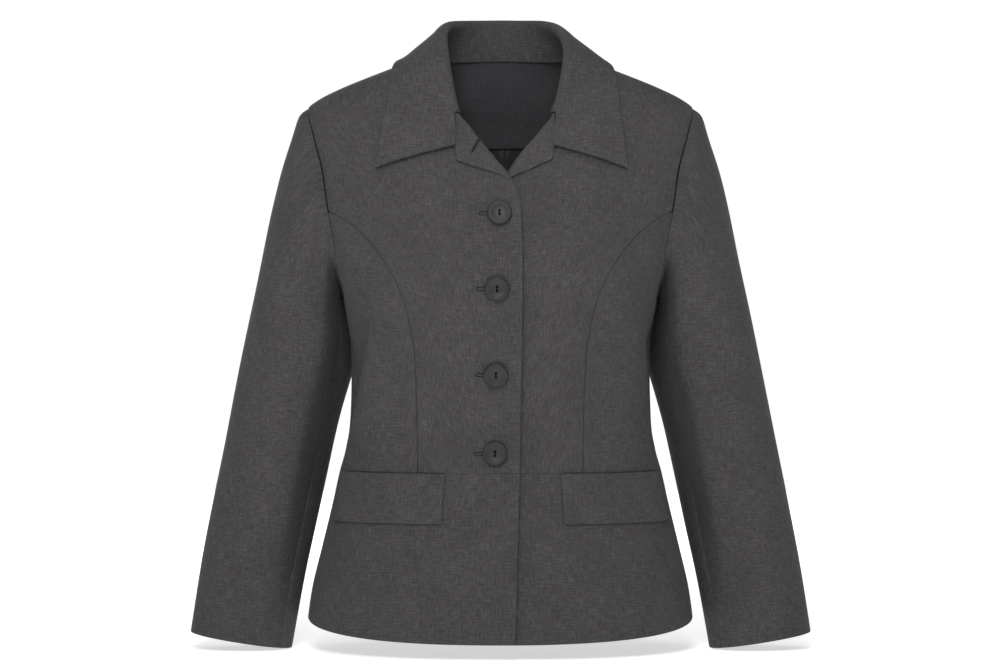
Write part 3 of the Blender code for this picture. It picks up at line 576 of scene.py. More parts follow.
def folded(u, v, rows):
    """How far the folds of a table lift the cloth at (u, v)."""
    lift = np.zeros_like(u)
    for start_u, start_v, end_u, end_v, width, height in rows:
        along = np.array([end_u - start_u, end_v - start_v], float)
        length = math.hypot(*along)
        t = ((u - start_u) * along[0] + (v - start_v) * along[1]) / length ** 2
        away = ((u - start_u) * along[1] - (v - start_v) * along[0]) / length
        lift += height * hill(away / width) * smooth(2 - np.abs(4 * t - 2))
    return lift


def body_ease(points):
    """Lift of the body's cloth, in mm: its folds, and a slow waviness below the collar."""
    x, y, drop = points[..., 0], points[..., 1], -points[..., 2]
    behind = smooth((y - side_y(drop)) / SIDE_BLEND + 0.5)
    lift = np.zeros_like(x)
    for face, share in ((-1, 1 - behind), (1, behind)):
        lift += share * folded(x, drop, [row[1:] for row in BODY_FOLDS if row[0] == face])
    wave = np.sin(x / 31 + drop / 47 + 0.6) * np.sin(drop / 39 - x / 83) * WAVE_WIDE
    wave += np.sin(x / 17 - drop / 71 + 2.1) * WAVE_FINE
    return lift + wave * smooth((drop - WAVE_TOP) / WAVE_FADE)


def on_body(side, turn, drop, depth=0.0):
    """Points of a layer this deep inside the body's outside, with the folds in it."""
    points = body(side, turn, drop)
    return points + body_out(side, turn, drop) * (body_ease(points) - depth)[..., None]


middle_front = on_body(-1, 0.0, BUST_DROP)
print("centre front at the bust, mm:", [round(float(v), 1) for v in middle_front])

# %% [markdown]
# ## From flat cut to worn sheet
#
# A sheet could be draped by a cloth simulation, but a pressed blazer holds its cut and hardly
# drapes, and a simulated edge wanders off its seam. So each piece starts as a flat grid, as the
# cloth starts flat on the table. Every crossing of the grid is then laid on the form, Solidify
# gives the cloth its thickness inwards, and Subdivision Surface rounds the cut edges into soft
# turned ones. A narrow first and last row keep that rounding within about a millimetre, so two
# panels meet in a fine groove: the seam.

# %% Rows of a grid
RIM = 1.1


def spaced(stops, step, rim=RIM):
    """Values from the first stop to the last, through each stop, with a narrow row at both ends."""
    values = [stops[0], stops[0] + rim]
    for low, high in zip(stops, stops[1:]):
        parts = max(1, round((high - low) / step))
        values += [low + (high - low) * i / parts for i in range(1, parts + 1)]
    return np.array(sorted(set(values[:-1]) | {stops[-1] - rim, stops[-1]}))


print("rim row, mm:", RIM)

# %% [markdown]
# The flat cut is measured on the worn sheet: u runs along the weft and v down the warp. The columns
# slant where a panel flares, so each step down is split into a part along the weft and a part down
# the warp. The weft lies straight along one level row: the top of a panel, the cuff of a sleeve.

# %% Flat cut of a grid
def flat_cut(grid, level_row):
    """u and v of every crossing in mm, and the flat sheet's width and length."""
    rows, columns = grid.shape[:2]
    middle = columns // 2
    across = np.linalg.norm(np.diff(grid, axis=1), axis=-1)
    down = np.diff(grid, axis=0)
    weft = unit(np.gradient(grid, axis=1))[:-1]
    drift = (down * weft).sum(axis=-1)
    fall = np.linalg.norm(down - drift[..., None] * weft, axis=-1)
    u = np.concatenate([np.zeros((rows, 1)), np.cumsum(across, axis=1)], axis=1)
    v = np.concatenate([np.zeros((1, columns)), np.cumsum(fall, axis=0)], axis=0)
    width, length = u[:, -1].max(), v[-1].max()
    u = u - u[:, [middle]] + np.concatenate([[0], np.cumsum(drift[:, middle])])[:, None]
    return u, v - v[[level_row]], width, length


def facing_map(mesh):
    """A flat map for a piece that turns every way: each face looks at the one axis it faces most."""
    for face in mesh.polygons:
        axis = max(range(3), key=lambda k: abs(face.normal[k]))
        across, down = ((1, 2), (0, 2), (0, 1))[axis]
        for corner in face.loop_indices:
            place = mesh.vertices[mesh.loops[corner].vertex_index].co
            mesh.uv_layers[0].data[corner].uv = (place[across], -place[down])


# %% [markdown]
# Laying a sheet takes one grid primitive, moves its crossings, writes the flat cut into its map, and
# applies the two modifiers. The sheet is then attached to the root body and listed with what it
# stands for, how big its flat cut is and its area.

# %% Laying a sheet
SHEETS = []
LEAST_AREA = 0.3


def lay_cloth(node, grid, thickness, finish, inward=False, level_row=0):
    """A sheet of cloth whose outside is the grid of points, rows down and columns across."""
    if inward:
        grid = grid[:, ::-1]
    rows, columns = grid.shape[:2]
    bpy.ops.object.select_all(action="DESELECT")
    bpy.ops.mesh.primitive_grid_add(x_subdivisions=columns - 1, y_subdivisions=rows - 1, size=1.0,
                                    location=(0, 0, 0))
    piece = bpy.context.active_object
    piece.name = node + "_cloth"
    mesh = piece.data
    mesh.name = piece.name
    assert len(mesh.vertices) == rows * columns
    mesh.vertices.foreach_set("co", (grid * MM).ravel())
    u, v, width, length = flat_cut(grid, level_row)
    width, length = width * MM, length * MM
    corners = np.empty(len(mesh.loops), dtype=np.int32)
    mesh.loops.foreach_get("vertex_index", corners)
    cut = np.stack([u, v], axis=-1).reshape(-1, 2) * MM
    mesh.uv_layers[0].name = "cut"
    mesh.uv_layers[0].data.foreach_set("uv", cut[corners].ravel())
    mesh.update()
    area = sum(face.area for face in mesh.polygons)
    wall = piece.modifiers.new("wall", "SOLIDIFY")
    wall.thickness = thickness * MM
    wall.offset = -1.0
    wall.use_rim = True
    rounding = piece.modifiers.new("rounding", "SUBSURF")
    rounding.levels = rounding.render_levels = 1
    bpy.ops.object.modifier_apply(modifier="wall")
    bpy.ops.object.modifier_apply(modifier="rounding")
    bpy.ops.object.shade_smooth()
    mesh.materials.append(finish)
    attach(piece, "root")
    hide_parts(node)
    area = min(max(area, LEAST_AREA * width * length), width * length)
    SHEETS.append((node, round(width / MM), round(length / MM), round(area * 1e4)))
    print(f"{node}: {width / MM:.0f} x {length / MM:.0f} mm, {len(mesh.polygons)} faces")
    return piece


# %% [markdown]
# ## Fronts, side fronts and backs
#
# The body is cut in six panels. The princess seam leaves the armhole and runs over the bust to the
# waist, so the fullness comes from two flat pieces and not from stretching. Each row of a panel runs
# between two seams, so a seam is a function that gives its turn round the body at each drop.

# %% Armhole and seams
ARMHOLE_MIDDLE = (UNDERARM + SHOULDER_TIP) / 2
ARMHOLE_HALF = (UNDERARM - SHOULDER_TIP) / 2
SIDE_NAMES = {-1: "right", 1: "left"}
SIDE_TURN, BACK_TURN, NEAR = 90.0, 180.0, 0.01


def armhole_turn(face, turn):
    """Turn round the body of the armhole's edge, at a turn round the armhole."""
    drop = ARMHOLE_MIDDLE - ARMHOLE_HALF * np.cos(np.radians(turn))
    middle = side_y(drop)
    if face == "front":
        share = (middle - armhole_front(turn)) / (middle - front_y(drop))
        return np.degrees(np.arccos(np.clip(share, 0, 1) ** (ROUNDNESS / 2)))
    share = (armhole_back(turn) - middle) / (back_y(drop) - middle)
    return BACK_TURN - np.degrees(np.arccos(np.clip(share, 0, 1) ** (ROUNDNESS / 2)))


def outer_limit(face, drop):
    """Turn of a panel's outer edge: shoulder seam, armhole, then side seam."""
    turn = np.degrees(np.arccos(np.clip((ARMHOLE_MIDDLE - drop) / ARMHOLE_HALF, -1, 1)))
    open_part = (drop > SHOULDER_TIP + NEAR) & (drop < UNDERARM - NEAR)
    return np.where(open_part, armhole_turn(face, turn), SIDE_TURN)


def princess_turn(drop):
    """Turn of the princess seam."""
    return turn_at(princess_x(drop), drop)


def front_limit(drop):
    """Outer edge of a centre front: shoulder, armhole, then the princess seam."""
    return np.where(drop < PRINCESS_TOP - NEAR, outer_limit("front", drop), princess_turn(drop))


print("armhole, mm high:", round(2 * ARMHOLE_HALF))

# %% [markdown]
# At a pressed seam the two cloths turn inwards together. So each panel's last row sinks a little, which
# draws the seam as a fine dark line, and the panels reach into each other by a fraction of a
# millimetre, so no light comes through. The right front laps over the left one, which lies just
# inside it, and the free edge of the right one stands off by up to 3 mm and throws a soft shadow.

# %% Meeting and lapping
SEAM_MEET, SEAM_DITCH, PRINCESS_MEETS, CENTRE_BACK_MEETS = 0.38, 1.3, 2, 3
LAP_START, LAP_FADE, BREAK_LAP, BREAK_DROP, BREAK_HEIGHT = 62.0, 36.0, 1.6, 128.0, 20.0
EDGE_LIFT, EDGE_LIFT_WIDE = 3.0, 15.0


def meeting(turn, drop):
    """How far a panel reaches past its seam, as a turn."""
    step = body(1, turn + 0.5, drop) - body(1, turn - 0.5, drop)
    return SEAM_MEET / 2 / np.maximum(np.linalg.norm(step, axis=-1), 0.01)


def past(seam, times=1):
    """A limit that reaches past a seam this many times as far; below 0 it is a panel's first edge."""
    return lambda drop: seam(drop) + times * meeting(seam(drop), drop)


def under_lap(x, drop):
    """How deep the left front lies where the right one covers it."""
    depth = BODY_CLOTH + 2 * SEAM_GAP + BREAK_LAP * hill((drop - BREAK_DROP) / BREAK_HEIGHT)
    return depth * smooth((LAP_START - x) / LAP_FADE)


def lap_of(side, turn, drop):
    """Depth of a front: the left one lies under, and the right one's edge stands off it."""
    x = body(side, turn, drop)[..., 0]
    if side > 0:
        return np.where(turn < SIDE_TURN, under_lap(x, drop), 0.0)
    return -EDGE_LIFT * smooth(1 - (-front_edge[-1](drop) - x) / EDGE_LIFT_WIDE)


def ditch(columns, sewn):
    """How deep the sewn edges sink; sewn holds a share for the first and the last column."""
    return SEAM_DITCH * ((columns == columns.min()) * sewn[0] + (columns == columns.max()) * sewn[1])


def panel(side, first, last, drops, columns, sewn=(1, 1)):
    """Grid of a body panel between two limits."""
    drops = drops[:, None]
    low, high = first(drops), last(drops)
    turn = low + (high - low) * columns[None, :]
    drops = drops + 0 * turn
    return on_body(side, turn, drops, lap_of(side, turn, drops) + ditch(columns, sewn)[None, :])


print("seam ditch, mm deep:", SEAM_DITCH)

# %% [markdown]
# The rows are about 5 mm apart, and closer over the shoulder, where the form turns fastest. The
# centre front has a row at the point where the princess seam leaves the armhole, and the side front
# starts there with a few close rows.

# %% Body panels
ROW_STEP, SHOULDER_STEP = 5.0, 2.5
ROWS_DOWN = spaced((0, SHOULDER_TIP, UNDERARM, WAIST_SEAM), ROW_STEP)
ROWS_DOWN = np.array(sorted(set(ROWS_DOWN) | set(np.arange(SHOULDER_STEP, SHOULDER_TIP, SHOULDER_STEP))))
FRONT_DOWN = np.array(sorted({d for d in ROWS_DOWN if abs(d - PRINCESS_TOP) > 1.5} | {PRINCESS_TOP}))
FIRST_ROWS = [PRINCESS_TOP + below for below in (0.8, 2, 4)]
SIDE_DOWN = np.array(FIRST_ROWS + [d for d in ROWS_DOWN if d > PRINCESS_TOP + 6])


def body_panel(node, side, first, last, rows, columns, sewn=(1, 1)):
    """Lays one panel of the body above the waist."""
    lay_cloth(node, panel(side, first, last, rows, columns, sewn), BODY_CLOTH, suiting,
              inward=side > 0)


for side, word in SIDE_NAMES.items():
    body_panel(f"front_{word}", side, lambda d, s=side: turn_at(front_edge[s](d), d), past(front_limit),
               FRONT_DOWN, spaced((0, 1), 0.033, 0.007), (0, 1))
    body_panel(f"side_front_{word}", side, past(princess_turn, -PRINCESS_MEETS),
               past(partial(outer_limit, "front")), SIDE_DOWN, spaced((0, 1), 0.05, 0.01))
    body_panel(f"back_{word}", side, past(partial(outer_limit, "back"), -1),
               past(lambda d: BACK_TURN, CENTRE_BACK_MEETS), ROWS_DOWN, spaced((0, 1), 0.026, 0.006))

# %% [markdown]
# ## Peplum
#
# Below the waist seam three flared panels make the skirt of the blazer. Its hem dips gently towards
# the front. The grid's columns fan out with the flare, as the cut does, and the back is one piece
# from side seam to side seam.

# %% Peplum panels
HEM_ROWS = spaced((0, 1), 0.035, 0.007)


def hem_drop(turn):
    """How low the hem hangs: lowest at the front."""
    share = np.clip(1 - np.abs(turn) / SIDE_TURN, 0, 1)
    return HEM_SIDE + (HEM_FRONT - HEM_SIDE) * (1 - (1 - share) ** HEM_ROUND)


def peplum(side, first, last, columns):
    """Grid of a skirt panel from the waist seam to the hem, between two turns."""
    top = np.full(columns.shape, WAIST_SEAM - SEAM_MEET)[None, :]
    start = first(top) + (last(top) - first(top)) * columns
    drop = top + (hem_drop(start) - top) * HEM_ROWS[:, None]
    turn = first(drop) + (last(drop) - first(drop)) * columns
    return on_body(side, turn, drop, lap_of(side, turn, drop))


for side, word in SIDE_NAMES.items():
    grid = peplum(side, lambda d, s=side: turn_at(front_edge[s](d), d), past(lambda d: SIDE_TURN),
                  spaced((0, 1), 0.025, 0.005))
    lay_cloth(f"peplum_front_{word}", grid, BODY_CLOTH, suiting,
              inward=side > 0)
grid = peplum(1, past(lambda d: SIDE_TURN, -1), past(lambda d: 3 * SIDE_TURN), spaced((0, 1), 0.0125, 0.0025))
lay_cloth("peplum_back", grid, BODY_CLOTH, suiting,
          inward=True)

# %% [markdown]
# ## Pocket flaps
#
# The flaps are sewn into the waist seam and lie on the peplum. Each is a double layer, pressed flat,
# with its inner end leaning a little outwards. The two differ by a few millimetres, because the
# right front laps over and the left one doesn't.

# %% Pocket flaps
FLAP_DEPTH, FLAP_OUTER, FLAP_OUTER_DROP = 49.0, 159.2, 440.0
FLAPS = {
    # side, x of the inner end at its top and at its lower corner
    "right": (-1, 54.3, 57.4),
    "left": (1, 58.6, 62.6),
}

for word, (side, inner_top, inner_low) in FLAPS.items():
    step = spaced((0, 1), 0.1, 0.02)[:, None]
    drop = WAIST_SEAM + 2 * SEAM_GAP + FLAP_DEPTH * step
    first = turn_at(inner_top + (inner_low - inner_top) * step, drop)
    turn = first + (turn_at(FLAP_OUTER, FLAP_OUTER_DROP) - first) * spaced((0, 1), 0.05, 0.01)
    grid = on_body(side, turn, drop + 0 * turn, -(LYING_GAP + FLAP_CLOTH))
    lay_cloth(f"pocket_flap_{word}", grid, FLAP_CLOTH, suiting,
              inward=side > 0)

# %% [markdown]
# ## Sleeves
#
# A tailored sleeve has two pieces, a wide top and a narrow under sleeve, and it bends forward a
# little at the elbow. Its form is a row of slanting ovals from the armhole to the cuff. The first
# few are drawn towards the armhole's own curve, so that the head of the sleeve rolls out of the seam.
# Level rings would be simpler, but a sleeve head cut level could not meet the slanting armhole.

# %% Table of the sleeves
SLEEVE = (("ring", "outer_x", "outer_drop", "inner_x", "inner_drop", "mid_y", "half_depth"), (
    (0, 197.0, 55, 161.3, 250, 0, 55),
    (1, 204.0, 63, 161.5, 253, 1, 56.5),
    (2, 213.5, 88, 161.0, 258, 4, 58.5),
    (3, 223.5, 118, 160.0, 264, 7, 60),
    (4, 233.5, 158, 158.3, 272, 11, 60),
    (5, 243.0, 203, 155.8, 282, 13, 59),
    (6, 251.5, 243, 154.2, 296, 14, 57.5),
    (7, 261.8, 292, 156.2, 317, 14, 56),
    (8, 272.5, 345, 166.7, 368, 13, 53.5),
    (9, 283.8, 405, 178.4, 426, 9, 51),
    (10, 294.0, 458, 188.6, 477, 3, 48),
    (11, 304.0, 514, 199.8, 532, -7, 43.5),
    (12, 314.0, 585.5, 211.4, 602, -20, 38),
))
SLEEVE_ROUNDNESS, ARMHOLE_FADE, LAST_RING = 2.15, 4.5, 12
sleeve_part = {name: curve(SLEEVE, name) for name in SLEEVE[0][1:]}
print("sleeve, mm wide at the top and the cuff:",
      [round(float(2 * sleeve_part["half_depth"](ring))) for ring in (3, LAST_RING)])

# %% [markdown]
# The sleeve's folds break at the elbow's front and run down the upper arm. They differ on the two
# sides, as folds do.

# %% Folds of the sleeves
MM_A_TURN, MM_A_RING = 1.05, 46.0
SLEEVE_FOLDS = {
    # start turn, start ring, end turn, end ring, width mm, height mm
    "right": (
        (62, 1.6, 44, 4.4, 9, -1.0),
        (78, 1.9, 60, 5.2, 8, 0.8),
        (96, 2.4, 84, 5.6, 7, -1.0),
        (118, 5.4, 66, 6.9, 9, -1.2),
        (124, 6.4, 78, 7.7, 8, -1.0),
        (112, 4.6, 96, 6.6, 8, 0.9),
        (30, 7.4, 42, 11.0, 13, -0.8),
        (84, 8.4, 92, 11.4, 10, 0.8),
        (-52, 2.0, -40, 5.0, 11, -1.0),
        (-84, 4.6, -46, 6.4, 10, -1.2),
        (-92, 6.2, -58, 7.4, 9, -0.9),
        (-30, 7.2, -38, 10.6, 13, 0.8),
        (178, 4.6, 150, 6.2, 8, -1.0),
        (214, 5.6, 186, 6.8, 8, -1.1),
    ),
    "left": (
        (58, 1.8, 46, 4.9, 9, -0.8),
        (74, 1.7, 64, 4.6, 7, 0.9),
        (90, 2.2, 80, 5.2, 7, -1.1),
        (104, 2.8, 96, 5.8, 7, 0.7),
        (120, 5.6, 70, 7.1, 9, -1.1),
        (126, 6.7, 82, 7.9, 8, -0.9),
        (34, 7.8, 46, 11.2, 13, -0.7),
        (88, 8.2, 94, 11.2, 10, 0.8),
        (-50, 2.2, -42, 5.2, 11, -1.0),
        (-88, 4.8, -50, 6.6, 10, -1.1),
        (-94, 6.4, -62, 7.6, 9, -0.9),
        (-34, 7.4, -40, 10.8, 13, 0.7),
        (180, 4.8, 152, 6.4, 8, -1.0),
        (212, 5.8, 188, 7.0, 8, -1.0),
    ),
}
print("folds placed by hand on the sleeves:", sum(len(rows) for rows in SLEEVE_FOLDS.values()))


# %% Ovals and armhole
def oval(side, ring, turn):
    """Points of the sleeve's slanting ovals; turn runs from the top through the front."""
    c = power(np.cos(np.radians(turn)), 2 / SLEEVE_ROUNDNESS)
    s = power(np.sin(np.radians(turn)), 2 / SLEEVE_ROUNDNESS)
    outer_x, outer_drop = sleeve_part["outer_x"](ring), sleeve_part["outer_drop"](ring)
    inner_x, inner_drop = sleeve_part["inner_x"](ring), sleeve_part["inner_drop"](ring)
    x = (outer_x + inner_x) / 2 + (outer_x - inner_x) / 2 * c
    drop = (outer_drop + inner_drop) / 2 + (outer_drop - inner_drop) / 2 * c
    y = sleeve_part["mid_y"](ring) - sleeve_part["half_depth"](ring) * s
    return np.stack([side * x, y, -drop], axis=-1)


def armhole(side, turn):
    """Points of the armhole's seam on the body."""
    drop = ARMHOLE_MIDDLE - ARMHOLE_HALF * np.cos(np.radians(turn))
    edge = np.where(turn >= 0, armhole_turn("front", np.abs(turn)), armhole_turn("back", np.abs(turn)))
    return on_body(side, edge, drop)


print("underarm, mm out and down:", [round(float(v)) for v in armhole(1, np.array(BACK_TURN))[[0, 2]]])

# %% [markdown]
# An empty sleeve doesn't stay round beside the body. Its inner front is pressed back into a long
# hollow, which is the dark strip between sleeve and body. Under the arm it leans on the side of the
# body and rests there, about a millimetre off, so no gap shows at the armhole.

# %% Hollow, lean and rest
HOLLOW, HOLLOW_FROM, HOLLOW_LEAVES, HOLLOW_ENDS, HOLLOW_OPENS = 30.0, 112, 178, 208, 38
HOLLOW_TURNS, HOLLOW_TIGHTENS, HOLLOW_HIGH, HOLLOW_LOW, HOLLOW_FADE = 5, 12, 2.0, 12.6, 4.5
SLEEVE_LEAN, LEAN_RINGS, LEAN_TURNS = 7.5, (0, 8.6, 2.5, 2.6), (110, 270, 50, 50)
SLEEVE_REST, REST_FROM = 0.9, 0.7


def hollow(ring, around):
    """How deep the sleeve's inner front is pressed back beside the body."""
    lower = smooth(ring / 4)
    across = window(around, HOLLOW_FROM + HOLLOW_TURNS * lower, HOLLOW_ENDS,
                    HOLLOW_OPENS - HOLLOW_TIGHTENS * lower, HOLLOW_ENDS - HOLLOW_LEAVES)
    down = (1 - np.clip(1 - ring / HOLLOW_HIGH, 0, 1) ** 2) * smooth((HOLLOW_LOW - ring) / HOLLOW_FADE)
    return HOLLOW * across * down


def beside_body(side, points):
    """The same points, moved out of the body's side where the sleeve rests on it."""
    x, y, drop = side * points[..., 0], points[..., 1], -points[..., 2]
    middle = side_y(drop)
    reach = np.where(y < middle, middle - front_y(drop), back_y(drop) - middle)
    share = np.clip(np.abs(y - middle) / reach, 0, 1)
    edge = half_width(drop) * (1 - share ** ROUNDNESS) ** (1 / ROUNDNESS)
    edge = edge + SLEEVE_REST + body_ease(np.stack([side * edge, y, -drop], axis=-1))
    return np.stack([side * np.maximum(x, edge), y, -drop], axis=-1)


def sleeve(side, ring, turn):
    """Points of the worn sleeve, from its ovals, the armhole, the hollow and the side of the body."""
    points = oval(side, ring, turn)
    around = (turn + 180) % 360 - 180
    fade = np.clip(1 - ring / ARMHOLE_FADE, 0, 1)[..., None] ** 2
    points = points + (armhole(side, around) - oval(side, 0 * ring, around)) * fade
    around = np.where(around < -90, around + 360, around)
    lean = SLEEVE_LEAN * window(ring, *LEAN_RINGS) * window(around, *LEAN_TURNS)
    points = points + np.stack([-side * lean, hollow(ring, around), 0 * lean], axis=-1)
    resting = smooth(ring - REST_FROM)[..., None]
    return points + (beside_body(side, points) - points) * resting


def sleeve_out(side, ring, turn):
    """Which way is straight out of the sleeve."""
    across = sleeve(side, ring, turn + 0.5) - sleeve(side, ring, turn - 0.5)
    down = sleeve(side, ring + 0.05, turn) - sleeve(side, np.maximum(ring - 0.05, 0), turn)
    return unit(np.cross(across, down) * side)


print("deepest hollow, mm:", HOLLOW)

# %% [markdown]
# The front seam lies where the hollow begins and the back seam behind the elbow. Both drift round a
# little towards the cuff. The rows are measured from the cuff, because its edge is cut along the
# weft, while the sleeve's head is a curve.

# %% Sheets of the sleeves
FRONT_SEAM_TURN, BACK_SEAM_TURN, SEAM_TURN = 129.5, -109.7, -0.5
CUFF_FRONT_SHIFT, CUFF_BACK_SHIFT = 12.0, 10.0
HEAD_ROLL, SLEEVE_WAVE = 1.3, 0.3
SLEEVE_ROWS = np.concatenate([[0, 0.11], np.arange(0.3, 1.0, 0.22), np.arange(1, 11.9, 0.13), [11.98, 12]])


def sleeve_ease(side, ring, turn):
    """Folds of the sleeve, the roll of its head, and a slow waviness."""
    around = np.where(turn > 250, turn - 360, turn)
    rows = [(a * MM_A_TURN, b * MM_A_RING, c * MM_A_TURN, d * MM_A_RING, width, height)
            for a, b, c, d, width, height in SLEEVE_FOLDS[SIDE_NAMES[side]]]
    lift = folded(around * MM_A_TURN, ring * MM_A_RING, rows)
    head = HEAD_ROLL * hill((ring - 0.9) / 0.7) * smooth(ring / 0.5) * smooth((100 - np.abs(around)) / 40)
    wave = SLEEVE_WAVE * np.sin(around / 27 + ring * 0.9) * np.sin(ring * 1.35 - around / 61 + side)
    return lift + head + wave * smooth(ring / 2)


def sleeve_sheet(side, first, last, first_shift, last_shift, columns, sewn=(1, 1)):
    """Grid of a sleeve piece, its seams drifting round towards the cuff."""
    ring, share = SLEEVE_ROWS[:, None], columns[None, :]
    turn = first + SEAM_TURN + (last - first - 2 * SEAM_TURN) * share
    turn = turn + (first_shift * (1 - share) + last_shift * share) * ring / LAST_RING
    ring = ring + 0 * turn
    lift = sleeve_ease(side, ring, turn) - ditch(columns, sewn)[None, :]
    return sleeve(side, ring, turn) + sleeve_out(side, ring, turn) * lift[..., None]


print("rows of a sleeve:", len(SLEEVE_ROWS))

# %% Sleeve pieces
UNDER_SEWN = (1.8, 1)
for side, word in SIDE_NAMES.items():
    top = sleeve_sheet(side, BACK_SEAM_TURN, FRONT_SEAM_TURN, CUFF_BACK_SHIFT, CUFF_FRONT_SHIFT,
                       spaced((0, 1), 0.022, 0.0045))
    under = sleeve_sheet(side, FRONT_SEAM_TURN, 360 + BACK_SEAM_TURN, CUFF_FRONT_SHIFT, CUFF_BACK_SHIFT,
                         spaced((0, 1), 0.045, 0.009), UNDER_SEWN)
    lay_cloth(f"top_sleeve_{word}", top, SLEEVE_CLOTH, suiting,
              inward=side < 0, level_row=-1)
    lay_cloth(f"under_sleeve_{word}", under, SLEEVE_CLOTH, suiting,
              inward=side < 0, level_row=-1)

# %% [markdown]
# ## Collar
#
# The collar stands up from the neck seam, rolls over and falls to two long points. Each station
# below gives the neck seam, the top of the roll and the outer edge at one place, from the centre
# back to the front. The section between them is a short stand, a round roll and a flat fall that
# rests on the body. The stations are then joined by a smooth surface. Folding a flat shape over
# would be closer to how it is sewn, but stations keep both points exactly where the cut puts them.
#
# A front turn of None means that the stand ends on the front's own edge. Bend says how much of the
# section breaks at the gorge, the seam where the collar's end meets the lapel.

# %% Table of the collar
COLLAR = (("neck_turn", "neck_drop", "right_x", "right_z", "left_x", "left_z", "roll_y",
           "edge_right", "edge_left", "edge_y", "edge_z", "bend"), (
    (180, 0, 0, 41.5, 0, 41.5, 75, 0, 0, 89, -26, 0),
    (157, 0, 21, 41, 22, 41, 72, 36, 37, 87, -25, 0),
    (134, 0, 39, 39.5, 41, 39.5, 60, 67, 69, 77, -21, 0),
    (112, 0, 50.5, 36, 53, 34.5, 39, 91, 94, 52, -14, 0),
    (90, 0, 55.9, 29, 60.4, 26.5, 16, 101, 105, 18, -8, 0),
    (None, 0, 56.8, 21.5, 64.4, 19, -4, 104.5, 109, -10, -11, 0),
    (None, 7, 55.9, 12, 66.5, 10, -20, 107.5, 113.5, -28, -23, 0),
    (None, 18, 54.4, 1, 66.4, 0, -33, 109.5, 116, -45, -42, 0),
    (None, 31, 52.1, -14, 64.2, -14, -44, 112.5, 118, -58, -62, 0.1),
    (None, 44, 49.5, -31, 61.4, -31, -55, 116, 120.5, -66, -84, 0.3),
    (None, 56, 46.3, -48, 57.5, -48, -64.5, 119, 122.2, -72, -104.5, 0.62),
    (None, 66, 41.4, -64, 51.5, -64, -71.5, 121.8, 123.6, -76, -122.5, 1.0),
))
COLLAR_ROLL, STUB, FALL_LIFT, END_LIFT, GORGE_SHARE = 3.5, 3.0, 0.85, 0.34, 0.30
GORGE = {-1: (43.4, 98.6), 1: (50.6, 98.5)}
STAND_STEPS = (0.0, 0.35, 0.7, 1.0)
STAND_TUCK = 1.2
ROLL_TURNS = (-90, -45, 0, 45, 90)
FALL_STEPS = (0.15, 0.29, 0.30, 0.31, 0.47, 0.64, 0.82, 1.0)
print("collar stations from the centre back to a point:", len(COLLAR[1]))

# %% [markdown]
# The fall must rest on the shoulders and never cut into them, so each of its points is moved off the
# body, a little at a time, until the cloth and a thin gap fit under it.

# %% Resting on the body
CLEAR_STEPS, ABOVE_BODY, CLOSE_ENOUGH = 12, -6, 0.02


def clear_of_body(point, gap):
    """The point moved straight off the body until it is at least the gap away."""
    for _ in range(CLEAR_STEPS):
        drop = -point[2]
        if drop < ABOVE_BODY:
            return point
        side = 1 if point[0] >= 0 else -1
        middle = side_y(drop)
        behind = point[1] > middle
        reach = back_y(drop) - middle if behind else middle - front_y(drop)
        across = (abs(point[0]) / half_width(drop)) ** ROUNDNESS
        along = (abs(point[1] - middle) / reach) ** ROUNDNESS
        turn = math.degrees(math.atan2(across ** 0.5, along ** 0.5))
        turn = 180 - turn if behind else turn
        out = body_out(side, turn, drop)
        away = float((point - body(side, turn, drop)) @ out)
        if across + along > 1 and away < 0:
            away = -away
        if away >= gap - CLOSE_ENOUGH:
            return point
        point = point + out * (gap - away)
    return point


print("collar rests, mm off the body:", round(COLLAR_CLOTH + LYING_GAP, 1))

# %% Sections of the collar
def folded_section(start, roll, along, points, radius, lift_share):
    """Section of a folded piece: up from its start, round the roll, then down its points."""
    up = start - roll
    up = unit(up - along * (up @ along))
    over = points[0] - roll
    over = unit(over - along * (over @ along))
    into = unit(up + over)
    across = unit((over - up) - into * ((over - up) @ into))
    first = roll + (into - across) * radius
    if (start - first) @ into < STUB:
        start = first + into * STUB
    section = [start + (first - start) * step for step in STAND_STEPS[:-1]]
    for turn in ROLL_TURNS:
        angle = math.radians(turn)
        section.append(roll + into * radius * (1 - math.cos(angle)) + across * radius * math.sin(angle))
    lift = (section[-1] - roll) * lift_share
    return section + [point + lift * (1 - share) for share, point in zip(FALL_STEPS, points)]


def collar_values(side, place):
    """One row of the collar's table, with its roll and edge as points on this side."""
    row = dict(zip(COLLAR[0], COLLAR[1][min(max(place, 0), len(COLLAR[1]) - 1)]))
    word = SIDE_NAMES[side]
    row["roll"] = np.array([side * row[f"{word}_x"], row["roll_y"], row[f"{word}_z"]])
    row["edge"] = np.array([side * row[f"edge_{word}"], row["edge_y"], row["edge_z"]])
    return row


